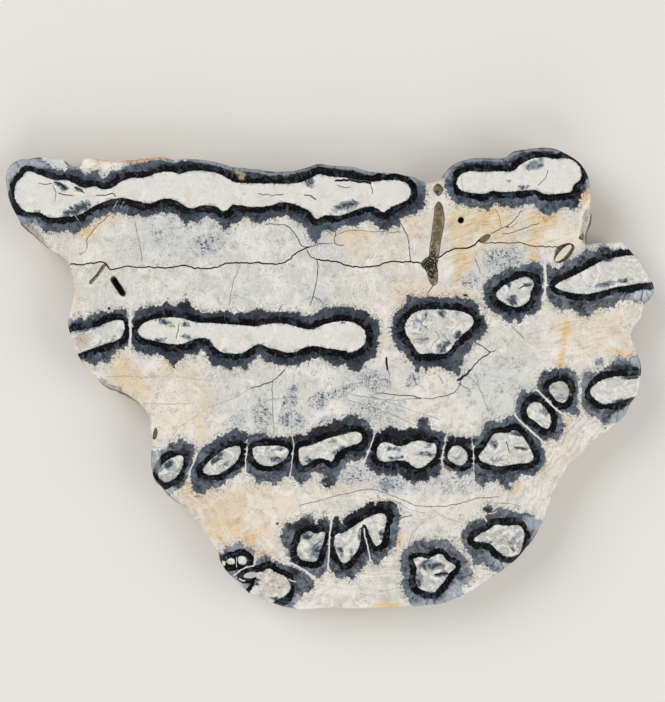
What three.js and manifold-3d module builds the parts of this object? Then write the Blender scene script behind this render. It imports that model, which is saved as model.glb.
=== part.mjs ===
// Fossil mammoth molar slice: one cross-section of a cheek tooth, sawn on both sides and polished.
// It lies on its sawn back. Millimetres, +Z up, +X along the longer side of the slice.
import * as THREE from 'three';
import { mergeVertices } from 'three/addons/utils/BufferGeometryUtils.js';
import Module from 'manifold-3d';

// Driving dimensions.
const thickness = 8;
const polishedEdge = 0.35; // rounding where the flat faces meet the rind
const edgeRings = 2; // facets across that rounding
const samplesPerPoint = 3; // outline facets between two neighbouring outline points

// The rind of the tooth, clockwise from the left tip, in stretches that meet end to end.
const leftTip = [
  [-50, 30.9], [-49.5, 32.6], [-48.3, 33.5], [-46.2, 33.9], [-43.4, 34.1], [-41.2, 33.9],
];
const tipNotch = [[-40.5, 32.9], [-39.2, 32.6], [-38.5, 33.1], [-37.7, 33.9]];
const crownEdge = [
  [-36, 34.1], [-33.1, 34.1], [-30.8, 34.4], [-27.7, 34.7], [-25.4, 34.5], [-24, 33.9], [-22.3, 34],
  [-20.8, 33.8], [-18.4, 33.6], [-15.1, 32.7], [-13.1, 32.4], [-10.7, 32.1], [-7.7, 31.9],
  [-5.4, 32], [-3.8, 32.5], [-1.7, 33], [1.6, 32.7], [3.4, 32.6], [6.2, 31.9], [10.5, 31.6],
];
const crownDip = [[12.1, 31.2], [13.3, 31.1], [14.8, 30.2], [16.1, 30.2], [17.4, 30.8]];
const upperLobe = [
  [17.8, 31.7], [18.6, 32.7], [19.8, 33.5], [21.5, 33.9], [25.4, 33.9], [27, 34.1], [28.2, 34.9],
  [30, 35.3], [32.1, 35.6], [34.5, 35.4], [36, 34.8], [37.5, 34], [38.9, 32.8], [39.8, 31.3],
  [40.2, 29], [40.2, 26], [40, 23.3], [39.6, 21.3],
];
const rightHorn = [
  [39.7, 20.7], [41.6, 20.9], [43.5, 20.8], [44.9, 20.9], [46.2, 19.8], [47.8, 18], [49.1, 16.2],
  [49.8, 14.9], [50, 13.2], [49.6, 12.2], [48.6, 11.3], [48.1, 9.2], [47, 7.9], [46.6, 6.3],
];
const rightSide = [
  [47.2, 4.8], [48, 2], [48, -0.2], [47.4, -2.6], [46.4, -4], [45.5, -5.9], [42.9, -8.2],
  [39.9, -10.4],
];
const scallopedSide = [
  [38.7, -11.9], [37.7, -12.7], [36.7, -13.6], [36.4, -14.6], [35.5, -15.7], [35, -16.9],
  [34.4, -17.8], [34.1, -19.1], [33.5, -20.2], [33.2, -21.5], [32.3, -23.3],
];
const rootSide = [
  [31, -25.4], [29.1, -27.6], [26.3, -29.9], [23.1, -32], [19.3, -34.2], [16.9, -34.9],
  [13.9, -35.2], [8.5, -35.5], [0, -35.6], [-6.1, -35.6], [-8.3, -34.9],
];
const leftFlank = [
  [-12.6, -33.1], [-14.2, -31.6], [-16.6, -29], [-17.4, -26.9], [-18.9, -24.6], [-21.5, -21.4],
  [-25.4, -17.6], [-27.1, -15.5], [-27.5, -13.9], [-27.6, -11.6], [-27.4, -10.2], [-27.5, -8.6],
  [-28, -6], [-28.9, -4.8], [-30, -3.9], [-32.3, -2.4], [-34.4, -1.4], [-36.9, 0.9],
  [-38.3, 2.5], [-39.8, 5.4], [-40.4, 8.6], [-40, 11.1], [-39.4, 13.2], [-39.9, 15.9],
  [-40.7, 18.1], [-43.9, 20.1], [-46.9, 23.1], [-49.1, 26.3], [-49.9, 29],
];
const rind = [
  ...leftTip, ...tipNotch, ...crownEdge, ...crownDip, ...upperLobe, ...rightHorn,
  ...rightSide, ...scallopedSide, ...rootSide, ...leftFlank,
];

// Where the rind slopes, the polished face stands back from the sawn back by this much.
const setBacks = [
  { at: [-30, 34.5], reach: 9, by: [0, -0.8] },
  { at: [-45, 21.3], reach: 6, by: [0.25, 0.3] },
  { at: [-31, -3.2], reach: 6, by: [0.25, 0.35] },
  { at: [-23, -20], reach: 8, by: [0.25, 0.2] },
  { at: [40.2, 22.5], reach: 3.5, by: [-0.4, 0] },
];

// Two old canals that run a little way into the polished face.
const slotPit = { from: [-33.2, 15], to: [-32, 13.2], radius: 0.42, depth: 3 };
const roundPit = { at: [20.2, 24.3], radius: 0.42, depth: 4 };
const pitSides = 12;

function outlineShape(points) {
  const corners = points.map(([x, y]) => new THREE.Vector3(x, y, 0));
  const curve = new THREE.CatmullRomCurve3(corners, true, 'centripetal');
  const samples = curve.getPoints(points.length * samplesPerPoint);
  samples.pop(); // the last sample repeats the first
  return new THREE.Shape(samples.map((p) => new THREE.Vector2(p.x, p.y)));
}

function toothBlank() {
  const blank = new THREE.ExtrudeGeometry(outlineShape(rind), {
    depth: thickness - 2 * polishedEdge,
    bevelThickness: polishedEdge,
    bevelSize: polishedEdge,
    bevelOffset: -polishedEdge,
    bevelSegments: edgeRings,
  });
  return blank.translate(0, 0, polishedEdge);
}

// Slides the wall inwards with height, most at the middle of each set-back stretch.
function slopeTheRind(geometry) {
  const position = geometry.attributes.position;
  for (let i = 0; i < position.count; i += 1) {
    const x = position.getX(i);
    const y = position.getY(i);
    const height = position.getZ(i) / thickness;
    for (const { at, reach, by } of setBacks) {
      const near = THREE.MathUtils.smoothstep(reach - Math.hypot(x - at[0], y - at[1]), 0, reach);
      position.setX(i, position.getX(i) + by[0] * near * height);
      position.setY(i, position.getY(i) + by[1] * near * height);
    }
  }
  return geometry;
}

// A round-ended slot, or a round hole where both ends are the same point.
function pitCutter(from, to, radius, depth) {
  const run = new THREE.Vector2(to[0] - from[0], to[1] - from[1]);
  const turn = run.length() > 0 ? run.angle() : 0;
  const shape = new THREE.Shape();
  shape.absarc(to[0], to[1], radius, turn - Math.PI / 2, turn + Math.PI / 2, false);
  shape.absarc(from[0], from[1], radius, turn + Math.PI / 2, turn + 1.5 * Math.PI, false);
  const cutter = new THREE.ExtrudeGeometry(shape, {
    depth: depth + 1,
    bevelEnabled: false,
    curveSegments: pitSides / 2,
  });
  return cutter.translate(0, 0, thickness - depth);
}

const wasm = await Module();
wasm.setup();

function toSolid(geometry) {
  geometry.deleteAttribute('normal');
  geometry.deleteAttribute('uv');
  const merged = mergeVertices(geometry, 1e-4);
  return new wasm.Manifold(new wasm.Mesh({
    numProp: 3,
    vertProperties: merged.attributes.position.array,
    triVerts: Uint32Array.from(merged.index.array),
  }));
}

function toGeometry(solid) {
  const mesh = solid.getMesh();
  const geometry = new THREE.BufferGeometry();
  geometry.setAttribute('position', new THREE.BufferAttribute(mesh.vertProperties, 3));
  geometry.setIndex(new THREE.BufferAttribute(mesh.triVerts, 1));
  geometry.computeVertexNormals();
  return geometry;
}

const slot = pitCutter(slotPit.from, slotPit.to, slotPit.radius, slotPit.depth);
const hole = pitCutter(roundPit.at, roundPit.at, roundPit.radius, roundPit.depth);
const solid = toSolid(slopeTheRind(toothBlank())).subtract(toSolid(slot)).subtract(toSolid(hole));

const fossilTooth = new THREE.MeshStandardMaterial({ color: '#dcd7ca', roughness: 0.35, metalness: 0 });
const molarSlice = new THREE.Mesh(toGeometry(solid), fossilTooth);
molarSlice.name = 'molar_slice';

const part = new THREE.Group();
part.add(molarSlice);
export default part;
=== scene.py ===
import math

import bmesh
import bpy
import numpy as np
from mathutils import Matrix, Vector, geometry, kdtree, noise


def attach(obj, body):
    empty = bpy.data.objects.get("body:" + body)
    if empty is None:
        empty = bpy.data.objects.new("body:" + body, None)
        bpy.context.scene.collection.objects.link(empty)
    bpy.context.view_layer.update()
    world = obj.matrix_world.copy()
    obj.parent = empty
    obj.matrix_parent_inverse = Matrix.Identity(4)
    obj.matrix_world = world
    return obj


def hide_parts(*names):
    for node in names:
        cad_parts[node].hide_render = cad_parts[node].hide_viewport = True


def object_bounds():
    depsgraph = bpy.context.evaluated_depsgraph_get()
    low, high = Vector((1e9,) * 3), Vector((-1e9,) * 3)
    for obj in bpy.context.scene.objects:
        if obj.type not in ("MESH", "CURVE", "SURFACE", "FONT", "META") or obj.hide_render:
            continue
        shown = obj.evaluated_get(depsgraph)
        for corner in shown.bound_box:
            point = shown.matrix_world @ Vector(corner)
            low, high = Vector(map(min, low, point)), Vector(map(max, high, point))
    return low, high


# a slice of a fossil mammoth molar, sawn across its plates and polished on one side
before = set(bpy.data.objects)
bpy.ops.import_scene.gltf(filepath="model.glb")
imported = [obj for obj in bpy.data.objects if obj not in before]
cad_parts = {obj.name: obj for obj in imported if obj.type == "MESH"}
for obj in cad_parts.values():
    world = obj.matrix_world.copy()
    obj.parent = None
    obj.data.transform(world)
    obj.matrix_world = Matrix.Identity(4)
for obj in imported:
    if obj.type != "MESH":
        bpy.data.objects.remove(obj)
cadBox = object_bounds()  # low and high corner of the frame, metres
mm = 0.001


def toLinear(hexColour):
    parts = [int(hexColour[i:i + 2], 16) / 255 for i in (1, 3, 5)]
    return [p / 12.92 if p <= 0.04045 else ((p + 0.055) / 1.055) ** 2.4 for p in parts] + [1]


# adds one node: settings are its inputs or its own properties, links its incoming sockets
def addNode(tree, kind, settings=None, links=None, give=0):
    node = tree.nodes.new(kind)
    for name, value in (settings or {}).items():
        if isinstance(name, str) and name[0].islower():
            setattr(node, name, value)
        else:
            node.inputs[name].default_value = value
    for name, source in (links or {}).items():
        tree.links.new(source, node.inputs[name])
    return node.outputs[give] if len(node.outputs) else node


# All places are in millimetres from the middle of the slice, seen from the polished side.
# Each plate of the tooth: the outer line of its enamel and the dentine that it wraps, how light
# its enamel is (below 0 darker than most) and how clouded its dentine.
plates = {
    "topLong": {
        "tone": -0.3, "murk": 0.18,
        "enamel": [
            (-49.5, 34), (-46, 34.8), (-42.2, 32.1), (-40.3, 32.3), (-39.9, 33.2), (-38.7, 33.2),
            (-38.4, 32.1), (-38, 31.4), (-37.4, 31.4), (-36, 32), (-35, 30.9), (-34.6, 30.8), (-33.7, 31.8),
            (-33, 31.9), (-31.6, 32.6), (-27.3, 33.5), (-23.2, 33.5), (-21.8, 33.7), (-20.8, 34.6),
            (-15, 33.8), (-8, 33), (-2, 34.2), (5, 33.6), (12, 32.2), (13.7, 31.3), (14.4, 30.4),
            (14.8, 29.4), (14.3, 26.2), (12.4, 25.1), (11.3, 24.9), (10.8, 24.3), (10.9, 23.7), (10.3, 23.3),
            (9.7, 23.4), (9.4, 23), (8.6, 22.8), (6.9, 23.5), (6.5, 24.3), (5.8, 24.4), (4, 23.4),
            (2.1, 23.4), (0.6, 22.5), (-0.3, 22.8), (-1, 22.6), (-1.4, 21.8), (-2.3, 20.8), (-2.8, 21.4),
            (-3.5, 22.3), (-3.5, 23), (-5.7, 24.4), (-6.4, 24.9), (-8.1, 24.8), (-8.4, 24.3), (-9.4, 24.5),
            (-10.6, 23.9), (-11.5, 24), (-12.8, 24.8), (-13.3, 24.7), (-13.8, 24.1), (-15.2, 23.8),
            (-16.1, 22.8), (-16.5, 23.4), (-17.1, 23.6), (-17.5, 24.2), (-19, 24.9), (-19.8, 24.5),
            (-20.2, 24.1), (-20.9, 24.3), (-21.6, 24.1), (-22.1, 23), (-22.4, 24), (-23.3, 25),
            (-24.2, 25.4), (-27.4, 25.2), (-27.9, 24.8), (-28.8, 24.8), (-29.5, 25.2), (-31.6, 25.1),
            (-32.3, 25.6), (-33.2, 25.4), (-33.9, 25.6), (-35.2, 24.8), (-36.2, 24.5), (-36.8, 23.9),
            (-39.3, 22.5), (-40.4, 22.8), (-42.2, 22.4), (-43, 22.7), (-44, 22.8), (-44.6, 23.3),
            (-45.6, 23.7), (-46.6, 23.7), (-47.6, 24.2), (-49.3, 24.9), (-51, 27),
        ],
        "dentine": [[
            (-48.6, 28.6), (-48.3, 30), (-47.4, 31), (-46.5, 31.9), (-44.6, 31.3), (-42.3, 30.5),
            (-40.4, 30.5), (-39, 29.8), (-37.7, 29.3), (-36.2, 29.5), (-34.8, 29.1), (-33.6, 29.3),
            (-32.2, 30.2), (-30.8, 30.8), (-28.6, 30.9), (-26.6, 31.6), (-24.6, 31.8), (-23.1, 31.5),
            (-21.6, 31.9), (-19.2, 31.9), (-17.2, 31.5), (-15.9, 30.9), (-14.6, 30.2), (-10.4, 30),
            (-4.8, 30.1), (-3.2, 30.7), (-1.7, 31.4), (-0.2, 31.1), (2.3, 30.9), (4.7, 30.3), (6.2, 30.2),
            (8.5, 30.5), (10.8, 30.4), (12, 29.9), (12.5, 29), (12.3, 27.8), (11.2, 27), (9.7, 26.4),
            (8.2, 25.5), (7.6, 25.9), (6.5, 26.4), (5, 26.2), (1.6, 25), (-0.7, 25), (-2.1, 24.5),
            (-3.1, 25.6), (-6.1, 26.9), (-7.7, 27), (-9.2, 26.5), (-12, 26.3), (-15, 26.6), (-15.8, 25.8),
            (-16.6, 25.7), (-17.6, 26.4), (-19.8, 26.5), (-21.2, 26.1), (-22.2, 26.4), (-23.6, 27.3),
            (-25.4, 27.6), (-27.7, 26.9), (-29.6, 27.2), (-31.9, 27.7), (-33.6, 27.5), (-36, 26.6),
            (-38.4, 25.2), (-40.8, 24.8), (-43.1, 24.7), (-44.8, 25.5), (-46.5, 25.5), (-47.7, 26.3),
            (-48.4, 27.4),
        ]],
    },
    "topShort": {
        "tone": -0.16, "murk": 0.15,
        "enamel": [
            (17.6, 30.6), (17.1, 32), (19, 34.8), (27, 35.2), (32, 36.6), (38, 35), (41, 31.5), (40.5, 29.8),
            (39.5, 28.9), (38.8, 28.2), (38.4, 27.4), (38.3, 26.4), (37.7, 26.1), (35.6, 26.3), (34.9, 25.7),
            (34, 25.5), (33.6, 25.2), (32.5, 25.6), (31.4, 26.7), (30.6, 26.8), (28.2, 26.1), (27.4, 26.4),
            (26.6, 26.5), (26, 26.9), (25.3, 26.9), (24.5, 25.8), (23.8, 26.2), (21.6, 26.4), (20.6, 26.7),
            (19.6, 26.9), (18.4, 28.3), (17.9, 29.4),
        ],
        "dentine": [[
            (19.5, 30.3), (20, 31.2), (21.2, 31.8), (23.9, 31.8), (26.5, 31.9), (27.6, 31.8), (28.4, 32),
            (29.6, 33.1), (31.6, 33.9), (33.1, 34), (34.6, 33.8), (36.9, 33.8), (38.2, 33), (38.8, 31.7),
            (38.6, 30.6), (37.6, 29.7), (37.2, 28.7), (35.5, 28.4), (33.1, 28.3), (31.6, 28.9), (29.3, 28.8),
            (26.5, 28.6), (25, 28.8), (24, 28.4), (20.4, 28.8), (19.7, 29.4),
        ]],
    },
    "upperStub": {
        "tone": -0.2, "murk": 0.42,
        "enamel": [
            (-41.3, 9), (-39.2, 9), (-38.5, 9.4), (-37.8, 9.1), (-37.2, 9.5), (-35, 10.2), (-34.1, 10),
            (-32.8, 10.5), (-31.5, 10.3), (-30.85, 6.5), (-31.3, 4.9), (-32, 4.3), (-32.9, 4), (-34.3, 2.3),
            (-35, 2.8), (-36.1, 1.9), (-36.7, 2.2), (-37.6, 2.5), (-38.5, 2.4), (-40, 2.6), (-41.5, 6),
        ],
        "dentine": [[
            (-40.4, 6.7), (-38.5, 7.4), (-35.9, 7.9), (-33.6, 8.8), (-32.2, 9), (-31.6, 8.5), (-31.7, 7.2),
            (-32.4, 6), (-34.6, 5.2), (-37.2, 4.3), (-39.6, 3.6),
        ]],
    },
    "upperLong": {
        "tone": -0.42, "murk": 0.22,
        "enamel": [
            (-30.5, 5.5), (-30.2, 9.6), (-29.1, 10.9), (-28.2, 10.9), (-26.2, 11.2), (-25.3, 11.6),
            (-23.7, 11.1), (-23.4, 11.5), (-22.4, 11.8), (-22.1, 12.3), (-21.8, 11.8), (-20.2, 10.2),
            (-19.2, 10.1), (-18, 10), (-15.9, 10.4), (-14.9, 10.1), (-13.8, 10.2), (-12.8, 9.9), (-12, 10.2),
            (-11.3, 10.8), (-10.7, 10.8), (-10.1, 10.3), (-9.2, 10.1), (-7.3, 10.4), (-6.5, 10),
            (-4.9, 10.3), (-4.6, 9.7), (-3.8, 9.5), (-2.1, 10), (-1.4, 10.6), (3.6, 10.8), (5.8, 10),
            (6.5, 9.4), (7.3, 8.9), (7.7, 7), (7.4, 5.8), (7.1, 3.7), (5.6, 2.5), (4.6, 1.3), (4.3, 0.9),
            (3.1, 1.3), (2.8, 1.9), (2.2, 2.3), (1.6, 2), (0.8, 1.9), (-1.3, 3), (-2.1, 3.1), (-6, 1.9),
            (-7.4, 2.1), (-8.6, 2.1), (-10.4, 3), (-10.9, 3.4), (-12.1, 2.3), (-12.6, 1.9), (-12.9, 1.3),
            (-13.4, 1.7), (-14.4, 1.8), (-15.2, 1.3), (-16.1, 1.5), (-17, 2), (-17.9, 1.8), (-18.9, 3.3),
            (-19.2, 4.1), (-19.8, 4.3), (-20.3, 3.9), (-20.7, 3.2), (-21.2, 3.7), (-21.8, 3.9), (-22.4, 3.2),
            (-23.7, 2.1), (-24, 1.6), (-24.4, 2.1), (-26.4, 3.7), (-27.4, 3.6), (-28.6, 3.8), (-29.6, 4),
        ],
        "dentine": [[
            (-29.6, 7.2), (-28.6, 8.5), (-24.6, 9.4), (-22.3, 9.1), (-20.6, 8.6), (-18.4, 8.5), (-13.8, 8.2),
            (-11.5, 8), (-9.2, 8.4), (-6.9, 8.4), (-3, 7.5), (-1.5, 8), (0.3, 8.6), (2.3, 8.8), (4.1, 8.4),
            (5.3, 7.4), (5.6, 6.2), (5.2, 5), (3.1, 3.9), (2.1, 4.2), (-0.7, 4.6), (-2.3, 4.9), (-3.8, 4.7),
            (-5.2, 4), (-6.6, 3.9), (-8, 4.3), (-9.4, 4.6), (-10.9, 5.2), (-13.6, 3.8), (-16.7, 4),
            (-17.8, 4.8), (-18.6, 5.9), (-20.2, 6.1), (-21.5, 5.7), (-22.8, 5.2), (-24.6, 5.2), (-26.9, 5.7),
            (-28.8, 6.2),
        ]],
    },
    "upperBlunt": {
        "tone": -0.34, "murk": 0.42,
        "enamel": [
            (9.3, 7.5), (10.5, 4.6), (11.2, 4), (11.9, 3.1), (12.6, 2.5), (13.4, 0.9), (13.8, 0.8),
            (14, 1.6), (14.4, 1.6), (14.8, 1), (15.2, 1.7), (17, 1.8), (17.9, 1.2), (19, 1), (19.7, 0.6),
            (20.2, 0.9), (20.1, 1.9), (20.6, 3.1), (21.2, 3.8), (21.7, 4.8), (23.9, 6.9), (24, 9),
            (23.1, 10.4), (22.7, 11.2), (21.9, 12), (17.6, 12.5), (13, 12.5), (12.1, 12.7), (11.7, 11.8),
            (11.2, 10.9), (10.4, 10.2), (9.8, 9.2), (9.6, 8.3),
        ],
        "dentine": [[
            (11.5, 7.7), (12.1, 9.2), (13.2, 10.2), (15.4, 10.6), (20.1, 10.3), (21.6, 9.7), (22.2, 8.8),
            (21.6, 7.6), (20.4, 6.6), (19.3, 5.4), (18.2, 4), (17.2, 3.7), (15.4, 3.8), (13.9, 3.7),
            (12.9, 4.9),
        ]],
    },
    "upperOval": {
        "tone": -0.1, "murk": 0.45,
        "enamel": [
            (24, 11.5), (25.8, 9.8), (26.7, 9.5), (27.1, 8.9), (27.7, 8.7), (28.5, 8.9), (29, 8.4),
            (29.5, 8.7), (29.8, 9.4), (31.6, 9.9), (32.3, 10.6), (32.7, 13), (32.9, 16.4), (32, 17.9),
            (29.2, 17.1), (28, 17), (25.9, 16.1), (23.7, 14.1),
        ],
        "dentine": [[
            (25.6, 13.1), (26.7, 14.2), (28.5, 15.1), (30.1, 15.6), (31.1, 15.2), (31.5, 14.5), (31, 13.2),
            (30.7, 12), (29.8, 11.2), (28.4, 10.9), (25.9, 12.2),
        ]],
    },
    "upperHorn": {
        "tone": 0.3, "murk": 0.4,
        "enamel": [
            (33.6, 12.5), (34.2, 11.5), (36, 10.4), (36.9, 10.6), (37.8, 10.4), (39.4, 9.4), (41, 10.6),
            (43.5, 11), (45.2, 11.9), (46.4, 12), (48.2, 11.5), (49.6, 11.7), (51.5, 13.5), (51, 16),
            (47, 20.5), (45.6, 19.9), (44.2, 19.8), (43.3, 19.9), (42.8, 20.4), (42, 20.5), (40.8, 19.6),
            (39.8, 19.8), (38, 18.7), (37, 18.3), (36.1, 17.6), (35.4, 16.9), (33.5, 17.2), (33.4, 16.1),
        ],
        "dentine": [[
            (34.7, 14.2), (37.8, 15.9), (40.1, 17.1), (42, 18.1), (44, 18.6), (47.4, 18.7), (49.8, 15),
            (47.4, 14.5), (43.9, 13.9), (41.6, 13.3), (39.3, 12.9), (35.6, 13.5),
        ]],
    },
    "lowerEdge": {
        "tone": 0.28, "murk": 0.8,
        "enamel": [
            (-29, -12), (-26, -11.1), (-25.2, -10.8), (-24.5, -10.2), (-23.6, -10), (-22.7, -9.2),
            (-22.3, -9.7), (-21.5, -10), (-20.9, -10.6), (-21, -12.4), (-21.5, -13.6), (-22.5, -16.5),
            (-23.3, -17), (-24.2, -17.5), (-24.8, -18.3), (-26.5, -18.2), (-29, -15),
        ],
        "dentine": [[
            (-22.7, -11.9), (-24, -12.1), (-25.6, -13.1), (-26.5, -14.4), (-26.3, -15.5), (-25.3, -16.1),
            (-23.9, -15.5), (-23, -14.4), (-22.5, -12.9),
        ]],
    },
    "lowerSlant": {
        "tone": -0.12, "murk": 0.55,
        "enamel": [
            (-21.2, -13.8), (-21.4, -15.7), (-20.7, -17.6), (-19.2, -17.7), (-18.8, -17.1), (-17.8, -16.8),
            (-16.9, -16.8), (-15.6, -15.6), (-14.8, -15.3), (-13.1, -13.5), (-13, -12.4), (-12.8, -8.3),
            (-13.3, -8.2), (-13.7, -8.5), (-14.2, -7.8), (-15.9, -8.5), (-17.6, -9.3), (-19.8, -11.3),
        ],
        "dentine": [[
            (-19.6, -14.3), (-18.9, -13.1), (-15.6, -10.7), (-13.9, -10.5), (-13.7, -11.4), (-14.4, -12.9),
            (-17.1, -14.8), (-18.9, -14.9),
        ]],
    },
    "lowerCup": {
        "tone": 0.12, "murk": 0.55,
        "enamel": [
            (-12.8, -9.6), (-12.3, -8.8), (-11.5, -8.5), (-9.9, -8.7), (-9.3, -9.1), (-5.8, -9.3),
            (-5.95, -12.8), (-6.3, -14.9), (-7.1, -15.1), (-7.6, -15.9), (-8.1, -16), (-8.6, -16.5),
            (-9.1, -16), (-9.7, -16), (-10.4, -15.7), (-10.9, -16.4), (-11.6, -15.2), (-12.4, -14.7),
            (-12.95, -12.5), (-12.8, -11.3),
        ],
        "dentine": [[
            (-11.9, -10.8), (-9.2, -10.4), (-7, -10.6), (-6.3, -11.2), (-6.6, -12.2), (-7.6, -13),
            (-9.3, -13.6), (-10.9, -13.2), (-11.7, -12.2),
        ]],
    },
    "lowerBone": {
        "tone": 0, "murk": 0.4,
        "enamel": [
            (-5.6, -9.2), (-5.3, -8.7), (-4.5, -8.7), (-3.8, -8.9), (-3.3, -8.3), (-1.6, -7.6), (0, -7.2),
            (0.4, -6.7), (1, -6.5), (1.8, -6.6), (2.7, -5.8), (4.1, -5.7), (4.5, -6.5), (5.2, -6.4),
            (6.7, -8.5), (5.8, -11.2), (5.4, -12.2), (2.8, -13.1), (1.6, -14.7), (1, -15.3), (0.8, -16.2),
            (0.1, -16.5), (-0.6, -16.9), (-1.2, -16.5), (-1.1, -15.7), (-0.5, -15.3), (-0.5, -14.9),
            (-1.2, -14.9), (-2, -14.5), (-2.7, -14.8), (-3.2, -15.6), (-4, -15.9), (-4.7, -16.4),
            (-5.5, -15.2), (-6, -15), (-5.5, -10.4),
        ],
        "dentine": [[
            (-4.7, -10.8), (-3, -10.3), (0, -9.2), (2.3, -8.6), (3.9, -8.2), (4.8, -8.5), (5, -9.3),
            (4.6, -10), (3.1, -10.5), (1.6, -11.2), (0.8, -12), (0.3, -12.9), (-0.5, -12.6), (-1.6, -12.4),
            (-2.7, -12.7), (-3.6, -13.4), (-4.2, -13.5), (-4.7, -12.8), (-4.8, -11.8),
        ]],
    },
    "lowerBarbell": {
        "tone": -0.25, "murk": 0.4,
        "enamel": [
            (7, -8.8), (7.7, -8.1), (8.5, -7.9), (9.2, -7.5), (10.9, -8), (12, -7.8), (13.5, -7.7),
            (13.4, -7.1), (13.7, -6.5), (14.9, -6.4), (15.2, -7), (16.2, -8.3), (17.2, -8.4), (17.8, -8.8),
            (17.15, -12.8), (17.3, -13.9), (16.3, -15.3), (15.6, -15.4), (14.9, -15.8), (13.3, -16),
            (13.1, -16.7), (12.7, -16.3), (11.4, -15.4), (11, -14.9), (9.8, -15.1), (8.4, -14.9),
            (7.2, -14.8), (5.8, -13.5), (5.6, -12.7), (6.1, -11.4),
        ],
        "dentine": [[
            (7.2, -11.6), (7.5, -10.4), (8.2, -9.9), (9.1, -9.9), (10.2, -10.4), (11.4, -10.4), (12.4, -9.9),
            (14, -9.6), (15.4, -10), (16.2, -10.1), (16.5, -11), (16.2, -12.1), (14, -13.9), (12.9, -13.7),
            (11.9, -12.9), (10.5, -12.7), (8.5, -12.9), (7.5, -12.5),
        ]],
    },
    "lowerDot": {
        "tone": 0.5, "murk": 0.5,
        "enamel": [
            (18, -9.1), (18.8, -8.9), (20.8, -9.3), (21.8, -9.4), (21.95, -10.5), (21.9, -14.7), (21, -14.7),
            (20.1, -15.7), (19.2, -14.6), (18.4, -14.1), (17.6, -13.9), (17.5, -11.6), (17.8, -10.3),
        ],
        "dentine": [[
            (19.9, -10.4), (20.9, -11.1), (21.3, -12.1), (20.9, -13.1), (20.1, -13.5), (19, -13.1),
            (18.2, -12.4), (18.3, -11.3), (19, -10.5),
        ]],
    },
    "lowerTent": {
        "tone": 0.1, "murk": 0.45,
        "enamel": [
            (22.1, -9.3), (22.8, -8.9), (23.3, -8.4), (24.2, -6.8), (25.2, -6.6), (26.2, -6.8), (26.8, -6.3),
            (28.4, -5.8), (29, -6.4), (31.2, -8.5), (32.3, -9.5), (33.1, -13), (31.3, -15.1), (30.6, -15),
            (29.5, -15), (28.8, -15.4), (28.3, -15.9), (27.8, -16.2), (27.6, -17), (26.9, -16.8),
            (25.8, -15.8), (24.1, -16.3), (23.5, -16.8), (22.9, -16.4), (22.2, -14.9), (22.25, -12),
        ],
        "dentine": [[
            (22.9, -12), (23.8, -10.9), (24.5, -9.7), (25.3, -8.6), (26.6, -8.4), (27.6, -8.4), (28.2, -8),
            (29, -8.3), (30.2, -9.6), (31.4, -12.4), (30.8, -13), (28.4, -13.3), (26, -13.6), (23.2, -12.7),
        ]],
    },
    "lowerEgg": {
        "tone": 0.25, "murk": 0.45,
        "enamel": [
            (29.7, -1.6), (28.7, -5.2), (29.1, -6.2), (31.3, -8.4), (32.4, -9.4), (34.4, -9.4), (35.2, -9.6),
            (35.5, -8.7), (36, -7.9), (35.7, -6), (33.6, -3.8), (32.2, -2.2), (30.4, -2.2),
        ],
        "dentine": [[
            (30.3, -4.9), (30.9, -3.9), (32.1, -3.7), (33.9, -5.6), (34.1, -6.8), (33.6, -7.8), (32.6, -7.5),
            (31.6, -6.7), (30.6, -6),
        ]],
    },
    "lowerPea": {
        "tone": 0.18, "murk": 0.6,
        "enamel": [
            (32, -1.4), (33, 1.1), (34, 1.1), (34.9, 1.5), (36, 1.4), (37, 1.3), (38.2, 0), (38.1, -4.2),
            (38.4, -5.6), (37.9, -5.9), (37.1, -5.5), (36.2, -5.1), (35.5, -5), (34, -3.7),
        ],
        "dentine": [[
            (33.9, -1.1), (34.9, -0.5), (36.1, -0.6), (36.8, -1.5), (36.8, -2.7), (36.2, -3.7), (35.2, -3.7),
            (34.3, -2.8), (33.7, -1.9),
        ]],
    },
    "lowerSpoon": {
        "tone": 0.35, "murk": 0.38,
        "enamel": [
            (39, -4.6), (39.2, 0.7), (39.8, 1), (40.6, 0.8), (43.6, 2.3), (44.6, 3), (45.4, 2.8),
            (46.2, 2.9), (47.1, 3.4), (49, 3.2), (50, 0), (48, -5), (45.6, -7.2), (44.2, -6.9), (43.1, -6.8),
            (42.3, -7.3), (41.6, -6.3), (39.7, -5.4),
        ],
        "dentine": [[
            (40.1, -1.9), (41, -0.8), (42.8, 0), (45.5, 0.3), (48.2, 0.2), (47.9, -2.4), (46, -3.2),
            (42.4, -4.1), (41, -3.4), (40.2, -2.6),
        ]],
    },
    "rootTubes": {
        "tone": 1, "murk": 0.05,
        "enamel": [
            (-18.4, -27.6), (-17.1, -27), (-16.5, -27), (-16.2, -26.3), (-15.7, -25.9), (-14.9, -26.1),
            (-14.4, -25.6), (-13.6, -25.5), (-12.9, -26), (-12.2, -26.2), (-11.7, -26.8), (-11.8, -28.7),
            (-12.8, -29), (-14.5, -30.2), (-15, -30.9), (-16.6, -30.4), (-18.2, -28.8),
        ],
        "dentine": [[
            (-16.65, -28.1), (-16.3, -28), (-16.05, -28.3), (-16, -28.8), (-16.3, -29.05), (-16.6, -28.7),
        ], [
            (-15.9, -28.1), (-15.2, -27.7), (-14.6, -27.9), (-14.6, -28.5), (-15.3, -28.8), (-15.8, -28.5),
        ], [
            (-14, -27.4), (-13.1, -27.5), (-12.7, -28.1), (-13.1, -28.7), (-13.9, -28.7), (-14.2, -28.1),
        ]],
    },
    "rootBoot": {
        "tone": 0.32, "murk": 0.45,
        "enamel": [
            (-15.1, -30.6), (-14.2, -29.9), (-12.2, -29), (-11.5, -28.8), (-10.5, -27.3), (-8.6, -28.3),
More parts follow.
